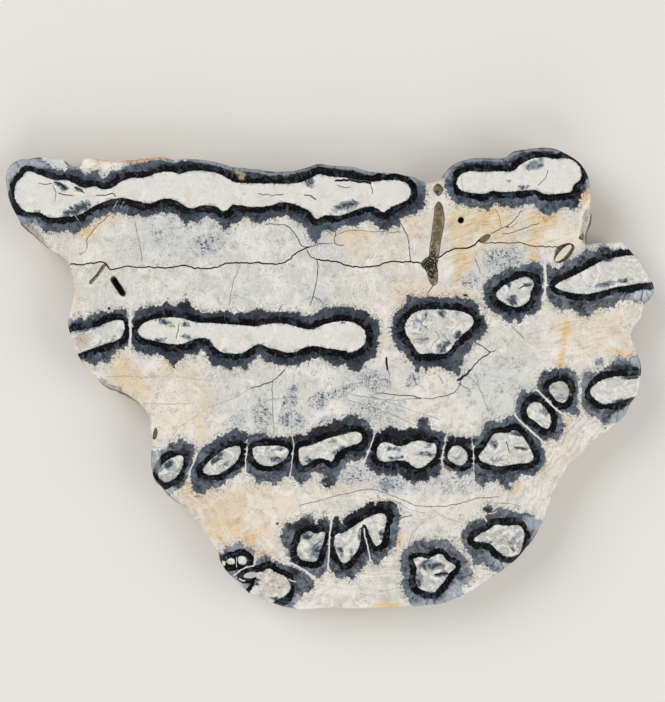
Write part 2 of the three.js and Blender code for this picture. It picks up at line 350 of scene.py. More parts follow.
            (-7.9, -28.4), (-7.2, -28.9), (-6.7, -28.7), (-5.9, -29.1), (-4.9, -29.4), (-2.6, -31.3),
            (-3.3, -33.1), (-4, -33), (-4.5, -34), (-5.2, -34.3), (-5.4, -35.2), (-6, -36.4), (-10, -36.5),
            (-14, -34), (-16, -31.5),
        ],
        "dentine": [[
            (-13.3, -30.4), (-12.7, -29.9), (-10.4, -29.8), (-9.4, -29.3), (-8.1, -30), (-6.9, -30.5),
            (-6, -32), (-6.2, -32.9), (-7.2, -33.8), (-8.3, -34.2), (-9.2, -35.2), (-12.6, -33.6),
            (-12.1, -32.6), (-11.5, -31.3), (-11.4, -30.7), (-12.3, -30.9), (-13.1, -30.8),
        ]],
    },
    "rootNut": {
        "tone": 0.48, "murk": 0.7,
        "enamel": [
            (-7.5, -25.1), (-7.3, -24.3), (-6.9, -22.6), (-6.2, -22.2), (-5.4, -22.3), (-4.1, -21.4),
            (-3.4, -21.2), (-2.7, -21.5), (-2, -22.7), (-1.7, -22), (-0.6, -21.4), (0, -21.8), (-0.2, -26),
            (-0.4, -29.4), (-1.1, -30.2), (-1.8, -30.9), (-3.3, -29.9), (-6, -28.3), (-6.7, -26.2),
        ],
        "dentine": [[
            (-4.5, -24.3), (-3, -23.5), (-2.4, -23.9), (-1.8, -23.9), (-1.2, -23.6), (-0.7, -23.8),
            (-1.6, -27.1), (-2.1, -28.2), (-4.4, -28), (-5, -27.1), (-5.1, -26.1), (-4.6, -25.1),
        ]],
    },
    "rootSaddle": {
        "tone": 0.2, "murk": 0.45,
        "enamel": [
            (0.4, -21.5), (1, -21.3), (1.5, -21.6), (1.8, -22.3), (2.2, -21.7), (3.9, -20.5), (4.7, -20.3),
            (5.2, -19.7), (5.9, -19.4), (6.6, -19), (6.95, -19.7), (7.4, -19.1), (9.2, -18.9), (10.9, -21),
            (10.6, -22), (10.3, -24.8), (9.8, -26), (8.3, -27.6), (7.2, -28.9), (6.5, -27.6), (6.2, -27.9),
            (5.1, -29.1), (4.7, -29.8), (3.8, -30.3), (3.5, -31.2), (3, -30.7), (1.1, -30.6), (0.6, -29.9),
            (0, -29.2), (0.3, -22.9),
        ],
        "dentine": [[
            (0.7, -24.6), (1.1, -24), (2.3, -23.7), (3.6, -22.8), (6.4, -21.2), (8.1, -20.8), (8.7, -21.3),
            (8.3, -24), (8, -25.3), (7.3, -25.9), (6.6, -25.3), (5.7, -23.1), (5.2, -22.6), (4.8, -23.2),
            (4.8, -24.7), (4.4, -26.3), (2.1, -28.6), (0.6, -25.6),
        ]],
    },
    "rootArrow": {
        "tone": 0.35, "murk": 0.5,
        "enamel": [
            (10.9, -28.1), (11.7, -26.3), (14.4, -24.9), (15, -25.5), (15.7, -25), (17.8, -24.8),
            (19.3, -26.2), (21, -27.8), (21.9, -29.8), (21.8, -30.9), (21.1, -31.8), (20.4, -31.6),
            (20.2, -32.4), (20.4, -33.2), (19.4, -34), (18.8, -35.4), (15, -36.2), (13.1, -35.4),
            (12.2, -34.1), (11.5, -33.2), (11.1, -32), (11.2, -30.6),
        ],
        "dentine": [[
            (12.9, -27.9), (13.9, -27.5), (15.2, -27.8), (16.1, -27.3), (17.2, -27.1), (18.1, -28.1),
            (19.1, -28.6), (19.4, -29.2), (18.5, -30), (17.9, -31), (16.9, -32.2), (16.1, -33),
            (13.9, -32.5), (13.3, -31.6), (13.2, -30.3), (13.3, -29.2),
        ]],
    },
    "rootTail": {
        "tone": 0.33, "murk": 0.6,
        "enamel": [
            (20.3, -24.8), (21, -22.9), (22.7, -21.8), (23.6, -21.7), (24.2, -21.2), (23.7, -19.8),
            (24.3, -19.5), (24.9, -19.7), (25.2, -20.4), (26, -20), (28.6, -20.5), (31.2, -21.2),
            (32.2, -22), (33.8, -22.8), (33.5, -25.5), (28.5, -30.3), (27.2, -29.6), (26.2, -29.9),
            (25, -29.7), (24.2, -29), (23.6, -28.2), (23.1, -28.6), (22.4, -28.5), (20.7, -25.6),
        ],
        "dentine": [[
            (22.1, -25), (22.9, -24.1), (24.3, -23.4), (25.5, -22.6), (27, -22.7), (29.3, -22.7), (30, -24),
            (29.7, -25.7), (29.3, -26.9), (28.4, -27.5), (27.3, -27.6), (26.2, -27), (24.4, -25.4),
            (23.1, -25.3),
        ]],
    },
}

# white cementum that keeps touching plates apart: line, half width
seams = [
    ([(-30.7, 10.4), (-30.75, 9), (-30.75, 7.4), (-30.7, 6), (-30.8, 4.8)], 0.16),
    ([(33.1, 17.4), (33.2, 15.8), (33.2, 14.4), (33.1, 13), (32.8, 11.8)], 0.15),
    ([(31.8, -1.8), (33, -2.9), (34.2, -4.2), (35.6, -5.4)], 0.1),
    ([(28.4, -5.6), (29.6, -6.8), (31.2, -8.3), (32.8, -9.8)], 0.12),
    ([(21.9, -9.2), (22.05, -10.5), (22.15, -12), (22.15, -13.5), (22.05, -15)], 0.03),
    ([(17.95, -8.8), (17.7, -10.3), (17.4, -11.6), (17.25, -12.8), (17.4, -14.1)], 0.03),
    ([(6.9, -8.6), (6.5, -9.9), (6, -11.2), (5.5, -12.3), (5.2, -13.1)], 0.07),
    ([(-5.8, -9.1), (-5.5, -10.6), (-5.7, -11.8), (-5.9, -13), (-6, -14.2), (-6.15, -15.2)], 0.05),
    ([(-12.7, -10.6), (-12.8, -11.6), (-12.95, -12.6), (-13, -13.6), (-13, -14.8)], 0.07),
    ([(-20.4, -11.7), (-21, -13), (-21.4, -14), (-21.6, -15), (-21.9, -15.9)], 0.08),
    ([(-11.5, -27.1), (-11.55, -28.1), (-11.7, -28.8), (-12.5, -29), (-13.2, -29.3), (-14, -29.8),
      (-14.8, -30.5)], 0.08),
    ([(-14.35, -27.6), (-14.35, -29.2)], 0.04),
    ([(-16, -27.4), (-15.85, -27.9)], 0.01),
    ([(0.2, -21.8), (0.15, -23), (0, -24.5), (-0.1, -26), (-0.2, -28), (-0.3, -29.6)], 0.1),
    ([(5.3, -23.2), (5.5, -24.6), (5.8, -25.8), (6.05, -27), (6.2, -28.2)], 0.09),
    ([(-7.2, -28.6), (-6, -28.6), (-5, -29.1), (-4, -29.6), (-3, -30.3), (-2.2, -31)], 0.12),
    ([(23.5, -20.9), (23.9, -21.6), (24.2, -22.2)], 0.1),
    ([(24.4, -20.9), (25.2, -20.8), (25.8, -20.5)], 0.06),
    ([(-6.3, -31), (-5.6, -31.3), (-5.1, -31.4)], 0.07),
    ([(-13.9, -30.9), (-13.4, -31.2), (-12.9, -31.2)], 0.08),
    ([(-33.4, 25.9), (-33, 26.7), (-32.6, 27.4)], 0.015),
    ([(-32.2, 26.2), (-31.6, 27.3)], 0.01),
    ([(-39.9, 25.8), (-39.2, 25), (-38.6, 24.2)], 0.02),
]

# cracks: line, width, and how dark and open it is from 0 to 1
cracks = [
    ([(-41.2, 17.5), (-38, 17.6), (-34.6, 17.7), (-34, 16.9), (-30.8, 17), (-24.6, 17.1), (-22.3, 17.3),
      (-20.3, 16.9), (-18.1, 16.9), (-15.7, 17.7), (-10.7, 17.6), (-8.4, 17.6), (-6.6, 18), (-5.4, 19.1),
      (-3.8, 19.9), (-3, 20.2)], 0.18, 0.95),
    ([(-3, 20.2), (-4.1, 20.2), (-5, 21.7), (-6.1, 23.1), (-7.2, 23.6), (-10, 23.7)], 0.1, 0.62),
    ([(-3, 20.2), (-1.5, 20.6), (0.5, 20.8)], 0.1, 0.55),
    ([(-3.5, 19.7), (-3, 18.6), (-2.1, 18.2), (-1.8, 16.6), (-2.3, 13.6), (-2.6, 12.6), (-3, 11.2)],
     0.11, 0.65),
    ([(-2.6, 12.6), (-0.9, 11.4)], 0.12, 0.5),
    ([(-2.1, 18.3), (0.8, 17.9), (3.1, 17.2), (6.2, 17.2), (8.5, 17.7), (10.8, 17.9), (14.1, 17.7)],
     0.18, 0.95),
    ([(16.9, 18.6), (18.8, 19.7), (21.6, 20.2), (23.1, 21.3)], 0.2, 0.9),
    ([(24.7, 22.2), (26.4, 22.9), (27.6, 23.5), (28.6, 24.6), (29.6, 25.9)], 0.1, 0.62),
    ([(23.6, 20.8), (27, 20.8), (29.3, 20.8), (31.6, 20.2), (35.2, 20.2)], 0.13, 0.7),
    ([(26.6, 22.2), (27.7, 22.3), (29.5, 22.9), (31.2, 23.5), (32.4, 23.9)], 0.08, 0.6),
    ([(27.2, 23.1), (28, 23.3), (29, 24)], 0.07, 0.5),
    ([(22.4, 18.4), (22.8, 17.2), (23.2, 16)], 0.08, 0.5),
    ([(25.5, 26), (26, 25), (26.4, 23.3)], 0.07, 0.45),
    ([(-13.8, 17.4), (-14.9, 14.3), (-15.5, 11.2)], 0.12, 0.4),
    ([(-30, 24), (-29.2, 20.5), (-28.9, 17.9)], 0.1, 0.4),
    ([(-33.5, 25.4), (-35.8, 23.4), (-37.2, 21.6), (-37.5, 19.7), (-38.6, 19)], 0.1, 0.5),
    ([(11.1, 23.6), (12.1, 21.3), (12.4, 17.9)], 0.1, 0.6),
    ([(0.8, 22.8), (1, 20.5), (2.2, 20.5)], 0.1, 0.5),
    ([(1, 22), (2.4, 22.6), (8.5, 22.5), (10.9, 22.5)], 0.1, 0.4),
    ([(-6.9, 1.3), (-8.6, -0.4), (-12, -1.5)], 0.12, 0.65),
    ([(-12, -1.5), (-15, -3.2), (-18.4, -4.5), (-21, -6.2), (-23.1, -7.5), (-24.4, -9.4)], 0.06, 0.3),
    ([(-8.8, -0.3), (-8.8, -4), (-8.6, -8.8)], 0.08, 0.45),
    ([(-9.9, -3.4), (-7.4, -3.1), (-4.7, -2.9)], 0.06, 0.4),
    ([(-27, -3.9), (-24, -4), (-21, -3.8)], 0.06, 0.35),
    ([(22.3, 5.5), (23.6, 4.8), (24.8, 4), (25.6, 4.3)], 0.1, 0.7),
    ([(24.8, 4), (23.4, 3.1), (22.2, 1.8), (21.3, 0.9), (20.2, -0.2), (19.5, -0.4)], 0.13, 0.85),
    ([(21.9, 1.4), (20.9, 0.5), (19.7, -0.3)], 0.3, 1),
    ([(20.2, -0.2), (19.9, -1.2), (19.3, -2), (17.8, -2.7), (16, -3.2), (13, -2.9), (7.7, -2.3)], 0.1, 0.65),
    ([(8.7, 3.1), (8.8, 2.3), (8.9, 1.2)], 0.32, 0.8),
    ([(8.9, 1.6), (9.2, 0), (9.4, -1.6)], 0.07, 0.5),
    ([(16.7, 0.5), (17.1, -0.2), (17.5, -1)], 0.07, 0.5),
    ([(12.8, 0.5), (13, -0.4), (13.5, -1.1)], 0.1, 0.6),
    ([(16.2, 7.2), (16.8, 6.6), (16.4, 5.9), (15.8, 5.2), (15.6, 4.4)], 0.16, 0.3),
    ([(17.3, 6.8), (18, 6.2), (18.3, 5.6), (18.9, 5.2)], 0.18, 0.35),
    ([(16.6, 5), (17.2, 4.7), (17.7, 4.4), (17.8, 3.9)], 0.2, 0.35),
    ([(12.4, 6.9), (13.4, 6.7), (14.2, 6.9)], 0.12, 0.3),
    ([(-4.6, -19.6), (3.1, -17.7), (7, -17.2), (10, -18.3), (13.9, -19.7), (18.5, -19.6), (23.1, -18.5),
      (26.2, -18.3)], 0.08, 0.5),
    ([(25.2, -19.3), (27.8, -19.3), (29.5, -19.9)], 0.07, 0.4),
    ([(-44.8, 30), (-43.8, 29.9), (-42.8, 30)], 0.08, 0.6),
    ([(-42.4, 30.2), (-41.4, 29.8), (-40.4, 29.1)], 0.16, 0.8),
    ([(-39.2, 29.3), (-38.4, 29), (-37.8, 28.5)], 0.13, 0.8),
    ([(-41.8, 28.5), (-40.6, 28.2), (-39.6, 28.1)], 0.1, 0.7),
    ([(-36, 28.1), (-34.6, 28.2), (-33.4, 28.5), (-33, 27.9)], 0.1, 0.8),
    ([(-42.6, 29.6), (-42.2, 28.4), (-42.4, 27.2)], 0.08, 0.5),
    ([(-11, 28.4), (-9, 28.2), (-7, 28.3)], 0.14, 0.45),
    ([(-3.9, 28.2), (-3, 28), (-2.1, 27.5)], 0.16, 0.6),
    ([(0.9, 30.4), (3.5, 30.5), (6.3, 30)], 0.3, 0.85),
    ([(1.2, 29.7), (2.2, 29.3), (3.2, 29.4)], 0.1, 0.5),
    ([(6.3, 29.7), (6.6, 29), (6.6, 28.4)], 0.1, 0.5),
    ([(33.6, 32), (33.2, 30.8), (32, 29.6)], 0.1, 0.6),
    ([(20.4, 31.4), (20.3, 30), (20.6, 28.8)], 0.06, 0.4),
    ([(-23.2, 8.4), (-23.4, 7.2), (-23.7, 5.9)], 0.1, 0.7),
    ([(29.2, 13.8), (30.2, 14.2), (31.2, 14.4)], 0.14, 0.7),
    ([(27.2, -9.8), (27.5, -10.7), (27.7, -11.6)], 0.12, 0.7),
    ([(28.4, -10.6), (29.4, -10.9), (30.5, -11)], 0.14, 0.6),
    ([(16.2, -30.3), (17.2, -30), (18.2, -30.1)], 0.22, 0.8),
    ([(45.9, -0.2), (47, 0.1), (48, 0)], 0.2, 0.7),
    ([(15.9, 14.2), (15.4, 13.6), (15, 12.8)], 0.1, 0.7),
    ([(10.8, -21.8), (11.8, -21.3), (12.8, -21.1)], 0.12, 0.5),
    ([(28, 8), (29, 7), (30, 6)], 0.08, 0.5),
    ([(-36.6, 0.1), (-32.6, 0.3), (-29, 0.2), (-26.2, 0.4)], 0.06, 0.3),
    ([(-30.6, -0.2), (-24, 0.2), (-20, -0.2), (-13, 0.4)], 0.05, 0.25),
    ([(2.6, -2.3), (6, -3), (10, -3.4), (14.7, -3.1)], 0.08, 0.4),
    ([(3, -3.4), (8, -5), (13, -7.2)], 0.06, 0.4),
    ([(6, -2.6), (11, -4.4), (17, -6.4)], 0.06, 0.35),
    ([(20.8, 0.5), (22.4, -0.6), (23.4, -2.6), (24.4, -5)], 0.07, 0.4),
    ([(19.8, -0.8), (20.6, -1.4), (21.4, -1.6)], 0.1, 0.5),
    ([(10.1, -18.9), (12.3, -20.2), (14.8, -20.8)], 0.06, 0.35),
    ([(12.1, -25.6), (12.6, -24.2), (13.6, -22.9)], 0.06, 0.35),
    ([(15.4, -19.9), (17.6, -21.4), (20.4, -22.2)], 0.05, 0.3),
]

# fillings and old canals: outline, tone from 0 (smooth olive mud) to 1 (granular and dark)
fillings = [
    ([(16.8, 27.2), (16.2, 26.6), (16, 25.1), (15.7, 22.8), (15.3, 19.8), (15.2, 18.8), (14.7, 18.5),
      (14, 17.7), (14.1, 17.2), (14.8, 16.5), (15.2, 15.1), (15.9, 14.2), (16.5, 14.5), (16.7, 16.3),
      (16.6, 17.2), (16.8, 18.5), (17.2, 21.3), (17.7, 24), (17.6, 25.5), (17.3, 26.7)], 0.5),
    ([(15.9, 29), (16.6, 30), (17.5, 29.1), (16.8, 28)], 0.6),
    ([(22.9, 21.2), (23.6, 21.9), (24.5, 22.2), (24.8, 21.9), (24.4, 21.3), (23.8, 20.9), (23.2, 20.8)], 0.2),
    ([(-34.3, 17.6), (-34.8, 17.6), (-36, 16), (-37.1, 14.7), (-36.8, 14.4), (-35.4, 15.9)], 0.5),
    ([(-26.8, -7.6), (-26.5, -8.2), (-26.8, -9.4), (-27.3, -9.5), (-27.2, -8.4)], 0.4),
    ([(-34.2, 10.5), (-33.8, 10.5), (-33.8, 10.9), (-34.2, 10.9)], 1),
    ([(-8.3, -22.3), (-7.9, -22.2), (-7.9, -22.6), (-8.3, -22.6)], 1),
    ([(20.5, 12.9), (21.2, 12.9), (21.2, 12.6), (20.6, 12.6)], 1),
    ([(38.3, 21.6), (38.8, 22.2), (39.1, 22.6), (39.15, 21.5), (38.9, 21.2)], 0.6),
    ([(34.5, 18.2), (34.6, 19.1), (34.8, 19.9), (35.6, 20.5), (36.8, 20.8), (37.5, 20.6), (37.7, 20.1),
      (37.5, 19.5), (37.1, 18.8), (36.2, 18), (35.2, 17.7), (34.7, 17.8)], 0.75),
]
# the spindle of clean cementum that stands in the dark ring of the last big canal
plug = [(34.6, 18), (34.8, 18.5), (35.2, 19.1), (36.1, 20.1), (36.8, 20.5), (37.2, 20.5), (37.1, 20),
        (36.5, 19.1), (35.7, 18.3), (35.1, 17.95)]

# patches: x, y, half length, half width, turn in degrees, strength
patches = {
    "stain": [  # iron-stained cementum, yellow to orange
        (23.6, 22, 6, 4.4, 20, 0.5), (30, 24, 5, 2.6, 10, 0.3), (24.2, 24.2, 4.4, 3, 20, 0.75),
        (20.6, 23.4, 3, 3.4, 0, 0.6), (20.4, 17, 1.7, 4.2, 8, 0.85), (33, 24.4, 3, 2, 0, 0.8),
        (31.8, 21.8, 1.2, 2.4, -15, 0.7), (31.2, 18.6, 1.1, 1, 0, 0.8), (37, 23.6, 4, 3, 20, 0.25),
        (39.3, 28.2, 0.9, 1.8, 0, 1), (36.4, 21.8, 3.2, 1.6, 0, 0.5), (13, 12.6, 5.4, 3.4, 0, 0.5),
        (12.4, 24, 4, 3, 0, 0.4), (4.2, 21.8, 3.6, 1.5, 0, 0.6), (8, 20, 6, 2.4, 0, 0.35),
        (19, 12.6, 3, 1.6, 0, 0.5), (36.3, 6.8, 0.7, 3, -8, 1), (35.7, 3, 0.6, 2.2, -14, 1),
        (44.8, 3.6, 2.4, 0.9, -12, 0.95), (44.2, 10.4, 1, 2.2, -10, 0.6), (40, 7, 7, 5, 0, 0.4),
        (36.4, -6.8, 1.1, 1.3, 20, 0.7), (28.6, -16.8, 2, 2, 0, 0.45), (43.8, -6.9, 1.4, 0.8, 0, 0.6),
        (34, -12, 3, 6, -45, 0.35), (-31, 0.2, 5.4, 2.2, -50, 0.6), (-24.9, 1.6, 1.6, 2.4, 0, 0.6),
        (-23.4, -2.6, 6, 6, 0, 0.45), (-20.2, -7.6, 1.3, 2.8, 12, 0.65), (-30, -6, 3.6, 5, -50, 0.4),
        (-37, 1, 4, 2, -45, 0.3), (-14.4, -23.6, 6, 2.4, -8, 0.75), (-20, -18.6, 5, 2, -35, 0.55),
        (-13, -19.4, 9, 3.4, 0, 0.5), (-9.9, -27.4, 1.6, 1.2, 0, 0.8), (10.4, -25, 1, 1.6, 0, 0.8),
        (8.6, -35.1, 3, 0.6, 0, 0.95), (2, -16.6, 8, 1.6, 10, 0.3), (-37.6, 22.2, 1.6, 1.4, 0, 0.8),
        (-34.6, 24.2, 2.4, 1.2, 20, 0.5), (-39.5, 12.4, 0.8, 2.2, 0, 0.5), (-31.6, 33.6, 7, 0.9, 0, 0.5),
        (-41, 17, 2, 4, 0, 0.3),
    ],
    "cool": [  # cementum mottled blue-grey
        (-18.8, 20.6, 2.4, 1.5, 20, 0.8), (-25, 22, 3, 2.5, 0, 0.35), (-10.4, -5.7, 1.5, 2.2, 0, 0.85),
        (-6.2, -3.6, 1.1, 1.1, 0, 0.9), (-6, -6.4, 2.2, 1.5, 0, 0.8), (-1.6, -3.4, 1.6, 1.2, 35, 0.9),
        (1.4, -2.2, 3.4, 0.7, 20, 0.7), (7, -5, 4, 2, -10, 0.5), (-14.2, -6.4, 1.2, 1, 0, 0.6),
        (-5.6, -1.7, 0.7, 0.6, 0, 1), (-0.4, -7, 1.8, 1, 15, 0.6), (6.8, -0.4, 2.4, 1.6, -20, 0.8),
        (9.2, -16.6, 2, 1.2, 0, 0.9), (12.6, -0.4, 0.9, 1.2, -30, 0.8), (4, -15, 2.4, 1.4, 0, 0.6),
        (26.6, 18.2, 3.2, 1.8, 5, 0.75), (25, -1.6, 6, 5, 0, 0.22), (21.6, 15, 1.4, 1.4, 0, 0.7),
        (30.4, 16.4, 1.4, 0.7, 0, 0.8), (-30.6, 9.8, 0.8, 0.6, 0, 0.5), (19, -16.4, 4, 1.4, 0, 0.45),
        (-2, 12, 2, 1.4, 0, 0.3), (41.6, 2.4, 0.8, 0.7, 0, 1), (44.4, 2.9, 0.7, 0.5, 0, 0.8),
    ],
    "smudge": [  # dentine clouded blue-grey
        (-38.8, 26.1, 2.6, 0.9, 25, 0.9), (-45, 25.7, 0.9, 0.4, 0, 0.7), (-41.4, 29.6, 1.3, 0.45, -25, 1),
        (-38.6, 29, 0.9, 0.4, -30, 0.9), (-3, 30.1, 1, 1, 40, 0.7), (2.4, 26.4, 2.4, 0.9, 15, 0.8),
        (7.6, 26.5, 0.7, 0.6, 0, 0.5), (31.5, 32.8, 1.8, 0.9, 20, 0.75), (27.6, 30.5, 0.6, 0.3, 0, 0.6),
        (30, 29.4, 1.2, 0.5, 0, 0.6), (-37, 7.6, 2.6, 0.4, 12, 0.6), (-34.2, 5.6, 2, 0.6, 20, 0.6),
        (-25.8, 8.7, 1.5, 0.45, -10, 0.9), (-22.1, 8.2, 0.9, 0.6, 0, 0.7), (-22, 6.3, 0.8, 0.5, 0, 0.7),
        (-26, 5.9, 1.3, 0.4, 0, 0.7), (-17, 8.3, 1, 0.3, 0, 0.5), (1.5, 8.5, 1.6, 0.4, 15, 0.6),
        (-16.7, 4.3, 1, 0.4, 0, 0.6), (-5.7, 8.2, 0.9, 0.3, 0, 0.5), (13.6, 8.4, 1.8, 1.8, 0, 0.5),
        (15, 9.8, 1.2, 0.5, 0, 0.5), (14.4, 5.6, 1.6, 1.2, 0, 0.45), (17.4, 4.8, 1.4, 0.8, 30, 0.8),
        (19.6, 6.8, 1, 0.6, 50, 0.9), (17.4, 9.9, 0.9, 0.6, 0, 1), (19.3, 9.9, 0.8, 0.4, 0, 0.45),
        (27.6, 14.3, 0.5, 0.5, 0, 1), (28.2, 12, 0.9, 0.8, 0, 0.9), (30.4, 14.4, 1, 0.4, 15, 0.7),
        (38.6, 17, 2.6, 0.6, 25, 0.7), (42.8, 18.3, 0.9, 0.45, 0, 1), (43.5, 14.6, 3.6, 0.5, 10, 0.8),
        (46.6, 0.2, 2, 0.4, 8, 1), (44, -3.9, 1.6, 0.5, 20, 0.95), (35.6, -3.2, 1, 0.4, 0, 0.6),
        (34.6, -1.4, 0.5, 0.4, 0, 0.45), (33, -5.2, 0.8, 0.7, -50, 0.9), (31.8, -6, 1, 0.5, -50, 0.5),
        (25.2, -10.2, 1.1, 0.8, 0, 0.7), (28.8, -8.6, 1.2, 0.5, 0, 0.9), (29.4, -10.8, 1.2, 0.4, -10, 0.7),
        (25.6, -12.5, 1.6, 0.5, 0, 0.6), (19.6, -12, 1, 0.8, 0, 0.4), (9.8, -10.9, 1.5, 0.35, 0, 0.9),
        (10.4, -12.3, 1.8, 0.3, 4, 0.9), (14.8, -11.7, 1.4, 0.35, -5, 0.9), (15.2, -10.5, 0.9, 0.4, 0, 0.7),
        (1.4, -11.1, 1.3, 0.5, 30, 0.9), (-3.5, -12.6, 0.8, 0.5, 0, 0.8), (0.6, -9.6, 1.2, 0.4, 15, 0.7),
        (-8, -11, 1.4, 0.4, 0, 0.8), (-8, -12.5, 1.4, 0.5, 0, 0.8), (-17.2, -12.3, 1.7, 0.5, 42, 1),
        (-16.2, -13.4, 1, 0.4, 35, 0.8), (-24.8, -13.3, 1.4, 0.6, 50, 0.8), (-2, -26.4, 1, 1.2, 30, 0.8),
        (-3.6, -24.3, 1, 0.7, 0, 0.7), (1.7, -26.7, 0.5, 1, 20, 0.9), (3.4, -27, 0.45, 0.9, 15, 0.9),
        (4.5, -24.2, 0.3, 1.2, 0, 0.8), (6.2, -24.6, 0.3, 1, 10, 0.7), (7.9, -24.2, 0.4, 1, 0, 0.9),
        (15.4, -28.8, 2.4, 1, -10, 0.8), (17.2, -30.2, 1.2, 0.4, 8, 1), (13.6, -31, 0.8, 1.4, 0, 0.8),
        (28.4, -25.6, 1.4, 2.2, 0, 0.5), (24.5, -25.4, 0.8, 0.6, 0, 0.6), (-11.1, -31.4, 0.5, 0.6, 0, 0.9),
        (-8.6, -33.8, 0.8, 0.5, 0, 0.8), (-14, 28.3, 3, 0.2, 0, 0.3),
    ],
    "charcoal": [  # enamel that stained brown-black all through, with little blue left
        (-1, 32, 14, 1.6, 0, 0.7), (-22, 32.6, 6, 0.8, 0, 0.5), (37.6, 34, 3, 1, -30, 0.9),
        (-3, -8.4, 9, 1.2, 15, 0.55), (10, -8.6, 5, 1, 0, 0.9), (20, -9.6, 2.6, 0.8, 0, 0.7),
        (-3.6, -22.6, 4, 1.2, 0, 0.6), (5.4, -20.4, 6, 1.4, 25, 0.9), (0, -15.8, 1.2, 1.4, 0, 0.5),
        (13.4, -15, 3, 1.2, 0, 0.6), (-16.5, -12.2, 7, 1, 38, 0.4), (46, 1.6, 3.4, 0.8, 10, 0.6),
        (45.4, 19.2, 3.4, 0.9, -15, 0.7), (38.6, 27.6, 1.4, 1.6, 0, 0.6), (-16, -27.4, 1.2, 0.6, 0, 0.5),
        (-21.6, 11, 2.4, 0.9, 0, 0.5), (19, -1, 4.6, 1.4, -20, 0.4), (15.6, 2.4, 5, 1.2, 0, 0.3),
        (-7, -30, 3.4, 1.2, 0, 0.6), (24, -20.6, 1, 0.9, 0, 0.6), (33.6, 12.6, 0.8, 3, 0, 0.2),
    ],
    "pale": [  # enamel and cementum bleached towards the rind
        (-38.6, 33.2, 2.6, 1, -5, 0.9), (-33.6, 32.6, 2.4, 0.8, 0, 0.7), (-26, 34.2, 6, 0.5, 0, 0.4),
        (-48.6, 32.2, 2.6, 1.4, 45, 0.8), (-45.6, 33.2, 2.6, 0.7, -10, 0.8), (-49.6, 28.4, 0.7, 3, 0, 0.8),
        (-46.6, 24.2, 2.6, 0.7, -15, 0.5), (-43.6, 32.9, 1.6, 0.7, 0, 0.5), (-18, 33.3, 8, 0.5, -12, 0.6),
        (-8, 32, 6, 0.4, 0, 0.5), (4, 32.4, 8, 0.5, -8, 0.7), (12.6, 30.8, 2, 0.6, -30, 0.5),
        (22, 33.7, 4.4, 0.4, 5, 0.5), (30, 35.2, 4, 0.3, 12, 0.4), (18.4, 31.4, 1, 1.6, 0, 0.5),
        (48.2, 12.9, 2.2, 1.1, 10, 1), (44, 12.4, 2, 0.7, 10, 0.4), (47.4, -3.6, 2, 3, 40, 0.7),
        (45, -6, 3, 1, 35, 0.8), (44.6, 20.4, 3.2, 0.9, -14, 0.8), (47, 2.6, 1, 0.8, 0, 0.8),
        (-40.2, 9, 1.4, 0.7, 10, 0.6), (-39.6, 3.2, 1.2, 0.6, 0, 0.5), (-26.6, -13, 1, 3, 0, 0.9),
        (-25, -17, 2, 0.8, -30, 0.8), (-25.6, -11.2, 1.4, 0.5, 15, 0.6), (19.6, -33, 2.6, 1.6, 30, 0.8),
        (15, -35, 3, 1, 0, 0.7), (21.2, -30, 1, 2, 0, 0.5), (31.6, -22.6, 2.4, 1.2, -20, 0.7),
        (27.4, -28.8, 3.4, 1.2, -35, 0.8), (-14.2, -31.9, 1.8, 1, -40, 1), (-17, -28.6, 1.4, 1.4, 0, 0.7),
        (-5, -34.6, 1.2, 1.4, 0, 0.7), (-1.8, -29.4, 1, 1, 0, 0.3), (35.4, -7.4, 0.9, 1.6, 0, 0.3),
        (-13.6, 30.7, 1, 0.5, 0, 0.6),
    ],
    "tan": [  # sandy brown, on rind and dentine
        (-28.6, 34.4, 7, 1, 2, 1), (-13.9, 31.6, 1.2, 0.6, -12, 0.95), (-13.7, 30.8, 0.9, 0.4, -8, 0.95),
        (-38.2, 6, 1.4, 1.2, 0, 0.8), (-24.3, 8.1, 0.7, 0.5, 0, 0.9), (37, -2.2, 1, 1.2, 0, 0.6),
        (32.4, -4, 0.8, 1, 0, 0.6), (-38.6, 3.6, 1.2, 0.8, 0, 0.5), (27.2, 14, 0.6, 0.6, 0, 0.4),
        (15.4, 9, 1, 0.5, 0, 0.4), (46.4, 0.7, 1.2, 0.5, 10, 0.6), (44.4, -4, 2.4, 0.5, 25, 0.5),
        (26, -24.6, 1.6, 1.2, 0, 0.5), (-8.6, -31.6, 3.2, 2.4, 0, 0.6), (-38, 5.8, 2, 2, 0, 0.5),
    ],
    "growth": [  # cementum laid down in fine wavy lines, alongside the rind
        (-4, -30, 18, 5, 0, 1), (-22, -18, 7, 6, -40, 0.45), (33, -14, 5, 9, -50, 0.9),
        (39, -8, 4, 5, -40, 0.8), (10, -18, 16, 3, 0, 0.5), (32, -20, 3, 4, 0, 0.6),
        (14, -20, 4, 3, 0, 0.6), (40, 9, 3, 3, 0, 0.5), (-30, -4, 4, 5, -50, 0.4), (29, -30, 4, 3, 30, 0.6),
    ],
    "stipple": [  # cementum peppered with grey
        (-24, 21, 12, 5, 0, 1), (-8, 19, 10, 5, 0, 0.8), (-22, 14, 12, 3, 0, 0.7),
        (-10, 12.6, 10, 2, 0, 0.8), (8, 21, 7, 3, 0, 0.7), (10, 14, 8, 3, 0, 0.6), (-44, 33, 4, 1.2, 0, 1),
        (28, 18, 6, 2.4, 0, 0.8), (-12, -2, 14, 5, 0, 0.7), (6, -1, 8, 4, 0, 0.8), (8, -15.6, 8, 1.8, 0, 1),
        (43, 20, 5, 2, -20, 0.8), (-34, 12, 5, 1.4, 0, 0.6), (28, -17, 6, 2, 0, 0.5),
    ],
    "grit": [  # sandy ends of the fillings
        (15.3, 17.4, 1.6, 2.2, 0, 1), (15.8, 20, 0.9, 1.4, 0, 0.5), (16.4, 29, 0.8, 0.9, 0, 0.4),
    ],
